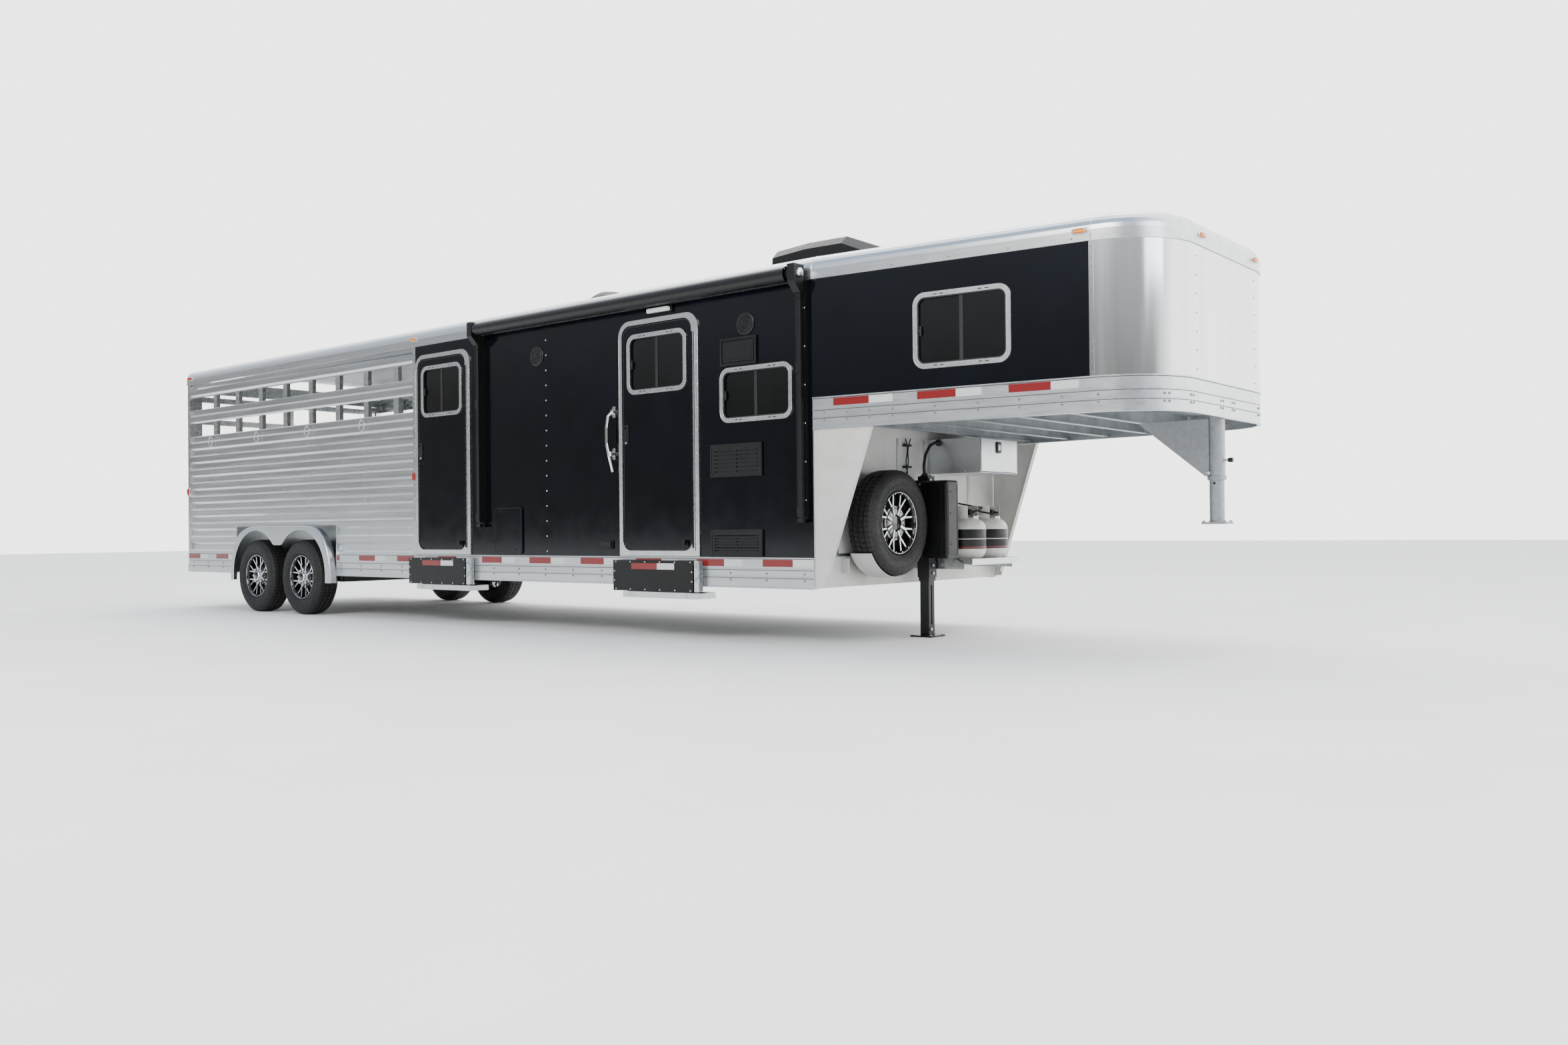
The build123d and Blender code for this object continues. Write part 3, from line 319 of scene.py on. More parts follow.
def cuboid(shape, low, high, place=Matrix(), slot=0):
    """Box between two corners, in the axes of a place."""
    low, high = Vector(low), Vector(high)
    corners = [place @ Vector((x, y, z)) for z in (low.z, high.z) for y in (low.y, high.y)
               for x in (low.x, high.x)]
    verts = [shape.verts.new(c) for c in corners]
    for face in ((0, 1, 3, 2), (4, 5, 7, 6), (0, 1, 5, 4), (2, 3, 7, 6), (0, 2, 6, 4), (1, 3, 7, 5)):
        shape.faces.new([verts[i] for i in face]).material_index = slot


def turned(shape, profile, place=Matrix(), segments=24, slot=0, squash=1.0):
    """Turn a profile of (radius, height) about the z axis of a place."""
    rings = []
    for radius, height in profile:
        if radius < 1e-6:
            rings.append([shape.verts.new(place @ Vector((0, 0, height)))])
            continue
        ring = []
        for i in range(segments):
            a = 2 * math.pi * i / segments
            spot = Vector((radius * math.cos(a), radius * math.sin(a) * squash, height))
            ring.append(shape.verts.new(place @ spot))
        rings.append(ring)
    for below, above in zip(rings, rings[1:]):
        for i in range(segments):
            j = (i + 1) % segments
            if len(below) == 1 and len(above) == 1:
                continue
            if len(below) == 1:
                corners = [below[0], above[i], above[j]]
            elif len(above) == 1:
                corners = [below[i], below[j], above[0]]
            else:
                corners = [below[i], below[j], above[j], above[i]]
            shape.faces.new(corners).material_index = slot


def hose(shape, points, radius, place=Matrix(), sides=12, rounds=4, slot=0):
    """Round tube along points, its bends eased by corner cutting, with closed ends."""
    line = [place @ Vector(p) for p in points]
    for _ in range(rounds if len(line) > 2 else 0):
        eased = [line[0]]
        for a, b in zip(line, line[1:]):
            eased += [a.lerp(b, 0.25), a.lerp(b, 0.75)]
        line = eased + [line[-1]]
    across = None
    rings = []
    for i, spot in enumerate(line):
        way = (line[min(i + 1, len(line) - 1)] - line[max(i - 1, 0)]).normalized()
        if across is None:
            across = way.orthogonal().normalized()
        across = (across - way * across.dot(way)).normalized()
        up = way.cross(across)
        rings.append([shape.verts.new(spot + (across * math.cos(a) + up * math.sin(a)) * radius)
                      for a in [2 * math.pi * k / sides for k in range(sides)]])
    for below, above in zip(rings, rings[1:]):
        for i in range(sides):
            j = (i + 1) % sides
            shape.faces.new([below[i], below[j], above[j], above[i]]).material_index = slot
    for end in (rings[0], rings[-1]):
        shape.faces.new(end).material_index = slot


def rounded_outline(width, height, radius, steps=6):
    """Points round a rounded rectangle centred on the origin."""
    points = []
    for sx, sy, start in ((1, 1, 0), (-1, 1, 90), (-1, -1, 180), (1, -1, 270)):
        for i in range(steps + 1):
            a = math.radians(start + 90 * i / steps)
            points.append((sx * (width / 2 - radius) + radius * math.cos(a),
                           sy * (height / 2 - radius) + radius * math.sin(a)))
    return points


def panel(shape, outline, low, high, place=Matrix(), slot=0, chamfer=0.0):
    """A flat outline pushed from one height to another, its top edge eased."""
    mid = (sum(p[0] for p in outline) / len(outline), sum(p[1] for p in outline) / len(outline))

    def ring(height, inset):
        made = []
        for x, y in outline:
            away = Vector((x - mid[0], y - mid[1]))
            x, y = Vector((x, y)) - away.normalized() * inset
            made.append(shape.verts.new(place @ Vector((x, y, height))))
        return made
    rings = [ring(low, 0), ring(high - chamfer, 0)]
    if chamfer:
        rings.append(ring(high, chamfer))
    count = len(outline)
    for below, above in zip(rings, rings[1:]):
        for i in range(count):
            j = (i + 1) % count
            shape.faces.new([below[i], below[j], above[j], above[i]]).material_index = slot
    shape.faces.new(rings[0]).material_index = slot
    shape.faces.new(rings[-1]).material_index = slot


def band(shape, width, height, radius, thick, low, high, place=Matrix(), slot=0):
    """Rounded rectangular ring, such as a seal or a frame lip."""
    outer = rounded_outline(width, height, radius)
    inner = rounded_outline(width - 2 * thick, height - 2 * thick, max(radius - thick, 0.001))
    loops = [[shape.verts.new(place @ Vector((x, y, z))) for x, y in line]
             for line, z in ((outer, low), (outer, high), (inner, high), (inner, low))]
    count = len(outer)
    for k in range(4):
        below, above = loops[k], loops[(k + 1) % 4]
        for i in range(count):
            j = (i + 1) % count
            shape.faces.new([below[i], below[j], above[j], above[i]]).material_index = slot


def axes(origin, x, z):
    """Place with its own x and z directions."""
    x, z = Vector(x).normalized(), Vector(z).normalized()
    y = z.cross(x)
    turn = Matrix((x, y, z)).transposed().to_4x4()
    return Matrix.Translation(origin) @ turn


def on_wall(x, z, out=0.0):
    """Right wall: x forward, y up, z outwards."""
    return axes((x, -HALF - out, z), (1, 0, 0), (0, -1, 0))


def on_flank(x, z, out=0.0):
    """Tapered right wall of the nose."""
    away = Vector((math.sin(TAPER), -math.cos(TAPER), 0))
    spot = Vector((x, -HALF + (x - DROP) * math.tan(TAPER), z)) + away * out
    return axes(spot, (math.cos(TAPER), math.sin(TAPER), 0), away)


def on_front(y, z, out=0.0):
    """Flat front of the nose: x to the left, y up, z forwards."""
    return axes((NOSE + out, y, z), (0, 1, 0), (1, 0, 0))


def on_corner(angle, z, out=0.0):
    """Right front corner, at an angle in degrees from the flank to the front."""
    a = math.radians(-90 + math.degrees(TAPER) + angle)
    away = Vector((math.cos(a), math.sin(a), 0))
    spot = Vector((CORNER_X, -CORNER_Y, z)) + away * (NOSE_RADIUS + out)
    return axes(spot, (-away.y, away.x, 0), away)


def mirrored(place):
    """The same place on the left side, kept right-handed."""
    flip = Matrix.Scale(-1, 4, (0, 1, 0))
    return flip @ place @ Matrix.Scale(-1, 4, (1, 0, 0))


def sides(places):
    return places + [mirrored(p) for p in places]


def span(start, end, pitch):
    """Evenly spaced stations close to a pitch, with both ends."""
    count = max(1, round(abs(end - start) / pitch))
    return [start + (end - start) * i / count for i in range(count + 1)]


RIVET = [(0.0065, 0.0), (0.006, 0.0012), (0.0045, 0.0024), (0.002, 0.003), (0.0, 0.0031)]
SCREW = [(0.0055, 0.0), (0.0055, 0.0018), (0.004, 0.003), (0.0022, 0.0033), (0.0018, 0.002), (0, 0.002)]


BOLT = [(0.0085, 0.0), (0.0085, 0.0018), (0.0065, 0.0036), (0.0, 0.0044)]


def dots(name, places, finish, body, profile=None, segments=10):
    """Rivets or screws at a list of places, as one piece."""
    shape = bmesh.new()
    for place in places:
        turned(shape, profile or RIVET, place, segments)
    return piece(name, shape, finish, body, smooth=True)


# ------------------------------------------------------------ camera, light and floor

def aim_camera():
    """Low three-quarter view of the right side and the nose."""
    yaw, pitch, roll = (math.radians(a) for a in (39.306, 0.343, -0.541))
    ahead = Vector((-math.sin(yaw) * math.cos(pitch), math.cos(yaw) * math.cos(pitch),
                    math.sin(pitch)))
    right = Vector((math.cos(yaw), math.sin(yaw), 0))
    up = right.cross(ahead)
    across = right * math.cos(roll) + up * math.sin(roll)
    above = up * math.cos(roll) - right * math.sin(roll)
    lens_data = bpy.data.cameras.new("camera")
    lens_data.lens = 28.55
    lens_data.sensor_width = 36
    lens_data.clip_end = 200
    camera = bpy.data.objects.new("camera", lens_data)
    camera.matrix_world = moved(5.039, -7.829, 0.801) @ Matrix(
        (across, above, -ahead)).transposed().to_4x4()
    bpy.context.scene.collection.objects.link(camera)
    bpy.context.scene.camera = camera


def area_light(name, spot, target, size, power, colour="#ffffff"):
    data = bpy.data.lights.new(name, "AREA")
    data.shape = "RECTANGLE"
    data.size, data.size_y = size
    data.energy = power
    data.color = linear(colour)[:3]
    lamp = bpy.data.objects.new(name, data)
    lamp.location = spot
    lamp.rotation_mode = "QUATERNION"
    lamp.rotation_quaternion = (Vector(target) - Vector(spot)).to_track_quat("-Z", "Y")
    bpy.context.scene.collection.objects.link(lamp)


def studio():
    """White floor, a bright far side, grey trees under open sky on the near side, and soft lamps."""
    shape = bmesh.new()
    bmesh.ops.create_grid(shape, x_segments=1, y_segments=1, size=60)
    mesh = bpy.data.meshes.new("floor")
    shape.to_mesh(mesh)
    shape.free()
    floor = bpy.data.objects.new("floor", mesh)
    bpy.context.scene.collection.objects.link(floor)
    mesh.materials.append(varied("studio_floor", "#e6e6e4", "#ecece9", 900, (0.7, 0.8)))
    world = bpy.data.worlds.new("studio")
    world.use_nodes = True
    bpy.context.scene.world = world
    tree = world.node_tree
    way = add(tree, "ShaderNodeSeparateXYZ", {
        "Vector": add(tree, "ShaderNodeTexCoord").outputs["Generated"]})
    open_sky = ramp(tree, way.outputs["Z"], "#e4eaf2", "#a9c2e6", 0.25, 0.85)
    above_trees = ramp(tree, way.outputs["Z"], 0.0, 1.0, 0.10, 0.30)
    yard = add(tree, "ShaderNodeMixRGB", {
        "Fac": above_trees, "Color1": linear("#7d7b77"), "Color2": open_sky}).outputs["Color"]
    far_side = add(tree, "ShaderNodeMath", {0: way.outputs["Y"], 1: 0.5, 2: 0.5},
                   operation="MULTIPLY_ADD").outputs["Value"]
    behind = ramp(tree, far_side, 0.0, 1.0, 0.36, 0.64)
    shade = add(tree, "ShaderNodeMixRGB", {
        "Fac": behind, "Color1": yard, "Color2": (2.6, 2.6, 2.58, 1)}).outputs["Color"]
    back = tree.nodes["Background"]
    tree.links.new(shade, back.inputs["Color"])
    back.inputs["Strength"].default_value = 1.35
    area_light("key", (2.0, -13.0, 9.0), (-3.5, -1.2, 1.4), (9, 5), 1500, "#fff8ee")
    area_light("nose_fill", (11.0, -3.0, 6.5), (1.8, 0, 1.6), (5, 5), 420, "#f2f6ff")
    area_light("top", (-3.5, 2.0, 12.0), (-3.5, 0, 0), (14, 7), 700)


aim_camera()
studio()

# ------------------------------------------------------------ running gear


def wheel_place(x, side):
    """Wheel axes with z outwards and y up."""
    return axes((x, side * HALF_TRACK, TYRE_RADIUS), (-side, 0, 0), (0, side, 0))


def tyre_shape(place):
    """Radial tyre: carcass with sidewall rings, three grooves and cut tread blocks."""
    r, h = TYRE_RADIUS, TYRE_HALF
    base = r - 0.009
    half = [(0.221, h - 0.042), (0.221, h - 0.030), (0.226, h - 0.022), (0.234, h - 0.013),
            (0.240, h - 0.0125), (0.243, h - 0.009), (0.258, h - 0.004), (0.262, h - 0.0035),
            (0.264, h - 0.0015), (0.268, h - 0.0015), (0.270, h - 0.0035), (0.296, h - 0.001),
            (0.312, h - 0.002), (0.314, h - 0.0005), (0.319, h - 0.0015), (0.336, h - 0.007),
            (0.352, h - 0.016), (0.360, h - 0.026), (base, h - 0.036), (base, 0.0)]
    shape = bmesh.new()
    profile = half + [(radius, -height) for radius, height in reversed(half[:-1])]
    inner = [(0.338, -h + 0.030), (0.338, h - 0.030), (0.228, h - 0.040)]
    turned(shape, profile + [(0.228, -h + 0.040)] + inner[:2] + [(0.228, h - 0.040), profile[0]],
           place, 96)
    ribs = ((-0.095, -0.050), (-0.043, -0.006), (0.006, 0.043), (0.050, 0.095))
    pitches = 64
    for low, high in ribs:
        shoulder = abs(low + high) > 0.1
        for i in range(pitches):
            a = 2 * math.pi * i / pitches
            turn = Matrix.Rotation(a + (0.02 if low > 0 else 0), 4, "Z")
            wide = math.pi * r / pitches * 0.84
            top = r - (0.0055 if shoulder else 0.0005)
            if shoulder:
                inner_w, outer_w = sorted((low, high), key=abs)
                ends = [(base - 0.004, inner_w), (r - 0.0005, inner_w),
                        (r - 0.006, outer_w * 0.86), (base - 0.012, outer_w * 0.985)]
            else:
                ends = [(base - 0.004, low), (top, low), (top, high), (base - 0.004, high)]
            skew = 0.006 if low > -0.05 and high < 0.05 else 0.0
            verts = []
            for s in (-1, 1):
                for radius, w in ends:
                    spot = Vector((radius, s * wide + (skew if w > low else 0), w))
                    verts.append(shape.verts.new(place @ turn @ spot))
            for face in ((0, 1, 2, 3), (4, 5, 6, 7), (0, 1, 5, 4), (1, 2, 6, 5), (2, 3, 7, 6), (3, 0, 4, 7)):
                shape.faces.new([verts[k] for k in face])
    return shape


def spoke(shape, place, start, end, wide, front, deep, slots):
    """Straight wheel spoke: machined face over black sides."""
    ax, ay = Vector(start), Vector(end)
    way = (ay - ax).normalized()
    side_way = Vector((-way.y, way.x))
    rings = []
    for spot, scale, rise in ((ax, 1.15, 0.0), (ay, 0.95, 0.006)):
        edge = side_way * wide * scale
        points = [(spot - edge * 1.25, front - deep), (spot - edge, front + rise - 0.003),
                  (spot - edge * 0.62, front + rise), (spot + edge * 0.62, front + rise),
                  (spot + edge, front + rise - 0.003), (spot + edge * 1.25, front - deep)]
        rings.append([shape.verts.new(place @ Vector((p.x, p.y, z))) for p, z in points])
    for i in range(6):
        j = (i + 1) % 6
        face = shape.faces.new([rings[0][i], rings[0][j], rings[1][j], rings[1][i]])
        face.material_index = slots[0] if i == 2 else slots[1]
    for ring in rings:
        shape.faces.new(ring).material_index = slots[1]


def rim_shape(place, hub):
    """Wheel with eight split spokes, a studded lip and either a hub cap or an open centre."""
    h = TYRE_HALF
    shape = bmesh.new()
    barrel = [(0.2185, -h + 0.024), (0.2195, -h + 0.027), (0.208, -h + 0.04), (0.2, -0.03), (0.2, 0.02),
              (0.208, h - 0.04), (0.2195, h - 0.027), (0.2195, h - 0.022), (0.217, h - 0.0195),
              (0.213, h - 0.020), (0.206, h - 0.030), (0.203, h - 0.036), (0.193, 0.02), (0.193, -0.03),
              (0.203, -h + 0.038), (0.2185, -h + 0.024)]
    turned(shape, barrel, place, 72, slot=1)
    lip = [(0.2125, h - 0.0205), (0.2165, h - 0.0190), (0.2172, h - 0.0198), (0.2125, h - 0.0215)]
    turned(shape, lip + lip[:1], place, 72, slot=0)
    face = h - 0.046
    for i in range(8):
        turn = place @ Matrix.Rotation(math.radians(i * 45 + 22.5), 4, "Z")
        spoke(shape, turn, (0.058, 0), (0.122, 0), 0.0145, face, 0.022, (0, 1))
        for lean in (-1, 1):
            spoke(shape, turn, (0.112, 0.004 * lean), (0.197, 0.034 * lean), 0.0085, face, 0.022, (0, 1))
    centre = [(0.112, face - 0.014), (0.106, face - 0.006), (0.062, face - 0.004), (0.062, face - 0.03),
              (0.112, face - 0.03), (0.112, face - 0.014)]
    turned(shape, centre, place, 48, slot=1)
    for i in range(16):
        a = math.radians(i * 22.5 + 11.25)
        spot = moved(0.2075 * math.cos(a), 0.2075 * math.sin(a), h - 0.0265)
        turned(shape, [(0.0045, -0.004), (0.0045, 0.002), (0.003, 0.0036), (0, 0.004)],
               place @ spot, 10, slot=2)
    for i in range(8):
        a = math.radians(i * 45)
        spot = moved(0.0826 * math.cos(a), 0.0826 * math.sin(a), face - 0.005)
        if hub:
            nut = [(0.0135, 0), (0.0135, 0.016), (0.011, 0.024), (0.006, 0.028), (0, 0.029)]
            turned(shape, nut, place @ spot, 6, slot=2)
        else:
            well = [(0.0125, 0.001), (0.0125, 0.002), (0.0085, -0.001), (0.0085, 0.001), (0.0125, 0.001)]
            turned(shape, well, place @ spot, 16, slot=0)
    if hub:
        cap = [(0.061, face - 0.012), (0.061, face + 0.006), (0.056, face + 0.009), (0.055, face + 0.026),
               (0.050, face + 0.032), (0.030, face + 0.034), (0.028, face + 0.0335), (0.0, face + 0.033)]
        turned(shape, cap, place, 40, slot=2)
        plug = [(0.040, face + 0.0325), (0.040, face + 0.0350), (0.034, face + 0.0375), (0.0, face + 0.0380)]
        turned(shape, plug, place, 32, slot=1)
        drum = [(0.14, -0.076), (0.142, -0.06), (0.142, 0.03), (0.13, 0.044), (0.062, 0.05), (0.062, 0.0),
                (0.032, 0.0), (0.032, -0.076), (0.14, -0.076)]
        turned(shape, drum, place, 48, slot=3)
    else:
        collar = [(0.066, face - 0.004), (0.063, face - 0.0035), (0.063, face - 0.03), (0.066, face - 0.03),
                  (0.066, face - 0.004)]
        turned(shape, collar, place, 40, slot=0)
        # Painted shade: a gloss black disc closes the open centre, where only shade would be seen through
        # it.
        dish = [(0.0625, face - 0.012), (0.058, face - 0.010), (0.0, face - 0.010)]
        turned(shape, dish, place, 32, slot=1)
    valve = moved(0.186, 0.0, face + 0.004)
    turned(shape, [(0.005, -0.02), (0.005, 0.008), (0.0035, 0.01), (0.0035, 0.02), (0, 0.0205)],
           place @ valve, 10, slot=4)
    return shape


def wheels():
    finishes = [machined, wheel_black, chrome, axle_paint, seal]
    for place_name, x in AXLES.items():
        for side_name, side in (("right", -1), ("left", 1)):
            body = f"wheel_{place_name}_{side_name}"
            spot = wheel_place(x, side)
            tyre = piece(f"tread_{place_name}_{side_name}", tyre_shape(spot), rubber, body, smooth=True)
            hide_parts(f"tyre_{place_name}_{side_name}")
            rim = piece(f"alloy_{place_name}_{side_name}", rim_shape(spot, True), finishes, body,
                        smooth=True)
            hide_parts(f"rim_{place_name}_{side_name}")
    spot = axes(SPARE, (0, 1, 0), (1, 0, 0))
    tyre = piece("tread_spare", tyre_shape(spot), rubber, "trailer", smooth=True)
    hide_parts("spare_tyre")
    rim = piece("alloy_spare", rim_shape(spot, False), finishes, "trailer", smooth=True)
    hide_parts("spare_rim")


wheels()


# ------------------------------------------------------------ rails, tape and fasteners

TAPE_HIGH = 0.050
TAPE_RED, TAPE_WHITE = 0.270, 0.175
FENDER_REAR, FENDER_FRONT = -7.970, -6.010
STEPS = {"small_step": (-4.715, -3.880), "main_step": (-2.025, -1.183)}


def tape_run(name, starts, place_of, finish_end, length=TAPE_RED, finish=None):
    """Strips of reflective tape laid on a rail, each cut off at the end of its band."""
    shape = bmesh.new()
    for start in starts:
        end = min(start + length, finish_end)
        if end - start < 0.02:
            continue
        outline = rounded_outline(end - start, TAPE_HIGH, 0.002, 2)
        panel(shape, outline, 0.0001, 0.0006, place_of((start + end) / 2), chamfer=0.0002)
    return piece(name, shape, finish, "trailer")


def rail_tape():
    low_z = RAIL_TOP - 0.039
    high_z = NOSE_RAIL_TOP - 0.039
    front_run = [-0.568 - 0.631 * k for k in range(9)]
    front_run = [x for x in front_run if x > FENDER_FRONT]
    rear_run = [-9.058, -8.424]
    nose_run = [0.047, 0.668, 1.290]

    def right(x):
        return on_wall(x, low_z)

    def flank(x):
        return on_flank(x, high_z)
    for side_name, turn in (("right", lambda p: p), ("left", mirrored)):
        for colour, shift, length, finish in (("red", 0.0, TAPE_RED, red_tape),
                                              ("white", TAPE_RED, TAPE_WHITE, white_tape)):
            names = f"{colour}_tape_{side_name}"
            low = [x + shift for x in front_run]
            tape_run(names + "_body", low, lambda x: turn(right(x)), DROP - 0.01, length, finish)
            rear = [x + shift for x in rear_run]
            tape_run(names + "_rear", rear, lambda x: turn(right(x)), FENDER_REAR - 0.005, length, finish)
            nose = [x + shift for x in nose_run]
            tape_run(names + "_nose", nose, lambda x: turn(flank(x)), TANGENT_X, length, finish)
    shape = bmesh.new()
    cuboid(shape, (FENDER_FRONT + 0.004, -TAPE_HIGH / 2, 0.0001), (-5.955, TAPE_HIGH / 2, 0.0006),
           on_wall(0, low_z))
    piece("red_tape_behind_fender", shape, red_tape, "trailer")


def rail_screws():
    rows = (0.058, 0.104)
    stations = [x for x in span(REAR + 0.12, DROP - 0.08, 0.334)
                if not FENDER_REAR - 0.02 < x < FENDER_FRONT + 0.02]
    nose = [-0.02, 0.152, 0.325, 0.493, 0.795, 1.09, 1.36, 1.63]
    places = []
    for row in rows:
        places += sides([on_wall(x, RAIL_LOW + row) for x in stations])
        places += sides([on_flank(x, NOSE_RAIL_LOW + row) for x in nose])
        for y in (-0.62, -0.58, -0.12, -0.08, 0.08, 0.12, 0.58, 0.62):
            if abs(y) < CORNER_Y:
                places.append(on_front(y, NOSE_RAIL_LOW + row))
        for angle in (4, 50, 54, 76, 80):
            places += sides([on_corner(angle, NOSE_RAIL_LOW + row)])
        for y in (-1.0, -0.95, 0.95, 1.0):
            places.append(axes((REAR - 0.008, y, RAIL_LOW + 0.02 + row), (0, -1, 0), (-1, 0, 0)))
    dots("rail_screws", places, steel_screws, "trailer", BOLT)
    roof = sides([on_wall(x, WALL_TOP + 0.022, 0.008) for x in span(REAR + 0.2, DROP - 0.2, 0.494)])
    roof += sides([on_flank(x, WALL_TOP + 0.022, 0.008) for x in span(0.1, 1.7, 0.4)])
    dots("roof_rail_screws", roof, steel_screws, "trailer", SCREW, 8)


def rail_shadow_lines():
    """Painted shadow: dark lines below the ridges of the rails, where their undercuts lie in shade, carried
    round the nose.
    """
    shape = bmesh.new()
    for side in (1, -1):
        turn = Matrix.Diagonal((1, side, 1, 1))
        for low, top, on_nose in ((RAIL_LOW, RAIL_TOP, False), (NOSE_RAIL_LOW, NOSE_RAIL_TOP, True)):
            for z in (low + 0.0702, top - 0.0898, top - 0.0112):
                if on_nose:
                    spots = [on_flank(DROP + 0.002, z), on_flank(TANGENT_X, z)]
                    spots += [on_corner(angle, z) for angle in range(4, 88, 6)]
                    runs = [spots + [on_front(-CORNER_Y, z), on_front(0, z)]]
                else:
                    runs = [[on_wall(REAR + 0.002, z), on_wall(FENDER_REAR - 0.004, z)],
                            [on_wall(FENDER_FRONT + 0.004, z), on_wall(DROP - 0.002, z)]]
                for run in runs:
                    hose(shape, [turn @ spot.translation for spot in run], 0.0014, sides=6, rounds=0)
    piece("rail_shadow_lines", shape, seal, "trailer")


def wall_rivets():
    column = sides([on_wall(-2.865, z) for z in span(0.646, 2.366, 0.123)])
    dots("bright_rivets_seam", column, chrome, "trailer")
    nose = sides([on_flank(1.815, z) for z in span(1.715, 2.455, 0.0617)])
    for y in (-0.505, 0.505):
        nose += [on_front(y, z) for z in span(1.74, 2.42, 0.113)]
    dots("nose_rivets", nose, steel_screws, "trailer")
    trim_column = sides([on_wall(STOCK_FRONT + 0.012 - 0.034, z, 0.005) for z in span(0.68, 2.44, 0.22)])
    dots("trim_rivets", trim_column, zinc, "trailer", None, 8)
    posts = [-8.472 + 0.4935 * i for i in range(8)]
    plank_rivets = []
    for x in posts:
        low = 0.99 if FENDER_REAR < x < FENDER_FRONT else 0.69
        for z in span(low, 1.84, 0.15):
            plank_rivets += sides([on_wall(x, z + 0.0, -0.0005)])
    dots("plank_rivets", plank_rivets, zinc, "trailer", None, 8)


def roof_line(out=0.0085):
    """Section of the roof rail from its lower lip to the flat roof: (out, height)."""
    radius = 0.105
    arc = [(out - radius * (1 - math.cos(a)), ROOF_TOP - radius + radius * math.sin(a) + out - 0.008)
           for a in [math.pi / 2 * i / 8 for i in range(9)]]
    return [(out, WALL_TOP + 0.002), (out, ROOF_TOP - radius)] + arc + [(-0.135, arc[-1][1])]


def roof_seams():
    """Weld beads where lengths of roof rail meet."""
    shape = bmesh.new()
    places = sides([on_wall(DROP + 0.004, 0), on_flank(TANGENT_X, 0)])
    places += [on_front(-CORNER_Y, 0), on_front(CORNER_Y, 0)]
    for place in places:
        hose(shape, [(0, z, out - 0.001) for out, z in roof_line(0.0075)], 0.0028, place, 8, 0)
    piece("roof_rail_welds", shape, polished, "trailer", smooth=True)
    shape = bmesh.new()
    for x in span(REAR + 0.6, DROP - 0.5, 1.22):
        cuboid(shape, (x - 0.02, -1.09, ROOF_TOP - 0.0065), (x + 0.02, 1.09, ROOF_TOP - 0.003))
    for x in (0.55, 1.25):
        reach = 0.93 if x < 1 else 0.86
        cuboid(shape, (x - 0.02, -reach, ROOF_TOP - 0.0065), (x + 0.02, reach, ROOF_TOP - 0.003))
    piece("roof_lap_strips", shape, roof_metal, "trailer", bevel=0.001)
    lap = sides([on_flank(1.806, 0)])
    shape = bmesh.new()
    for place in lap:
        cuboid(shape, (-0.006, NOSE_RAIL_TOP + 0.004, 0.0002), (0.022, WALL_TOP - 0.003, 0.0016), place)
    piece("nose_lap_joint", shape, polished, "trailer", bevel=0.0006)


# ------------------------------------------------------------ lamps

def marker_lamp(name, places, colour, body="trailer", wide=0.100, high=0.032):
    """Clearance lamp: chromed base, ribbed lens with a crowned face and two end screws."""
    shape = bmesh.new()
    for place in places:
        base = rounded_outline(wide, high, 0.010, 4)
        panel(shape, base, 0.0, 0.008, place, 0, chamfer=0.0015)
        crown = rounded_outline(wide * 0.72, high * 0.86, 0.011, 4)
        panel(shape, crown, 0.0078, 0.021, place, 1, chamfer=0.006)
        for x in (-0.43, 0.43):
            spot = place @ moved(x * wide, 0, 0.008)
            turned(shape, [(0.0028, -0.001), (0.0028, 0.001), (0, 0.0014)], spot, 8, 2)
    piece(name, shape, [chrome, colour, zinc], body, smooth=True)


def lamps():
    roof_z = WALL_TOP + 0.062
    marker_lamp("amber_markers", sides([on_wall(-4.687, roof_z + 0.006, 0.008),
                                        on_flank(1.752, roof_z, 0.008)])
                + [on_front(y, roof_z, 0.008) for y in (-0.435, 0.489)], amber)
    marker_lamp("red_rear_markers", sides([on_wall(-8.985, roof_z + 0.01, 0.008)])
                + [axes((REAR - 0.0005, y, 2.53), (0, -1, 0), (-1, 0, 0)) for y in (-0.22, 0, 0.22)],
                red_lens)
    upright = Matrix.Rotation(math.pi / 2, 4, "Z")
    marker_lamp("red_side_markers", sides([on_wall(STOCK_FRONT - 0.022, 1.317, 0.005) @ upright]),
                red_lens, wide=0.095, high=0.034)
    marker_lamp("red_rear_corner", sides([on_wall(REAR + 0.024, 1.293, 0.001) @ upright]),
                red_lens, wide=0.10, high=0.036)
    shape = bmesh.new()
    for y in (-1.181, 1.181):
        place = axes((REAR - 0.0005, y, 1.25), (0, -1, 0), (-1, 0, 0))
        panel(shape, rounded_outline(0.066, 0.30, 0.030, 6), 0, 0.006, place, 0, chamfer=0.002)
        panel(shape, rounded_outline(0.052, 0.28, 0.025, 6), 0.0055, 0.016, place, 1, chamfer=0.005)
    piece("tail_lamps", shape, [chrome, red_lens], "trailer", smooth=True)
    shape = bmesh.new()
    place = on_wall(-1.546, 2.452)
    panel(shape, rounded_outline(0.27, 0.050, 0.014, 5), 0, 0.020, place, 0, chamfer=0.004)
    panel(shape, rounded_outline(0.235, 0.032, 0.012, 5), 0.0195, 0.040, place, 1, chamfer=0.008)
    piece("porch_lamp", shape, [abs_black, lamp_dome], "trailer", smooth=True)


# ------------------------------------------------------------ windows and doors

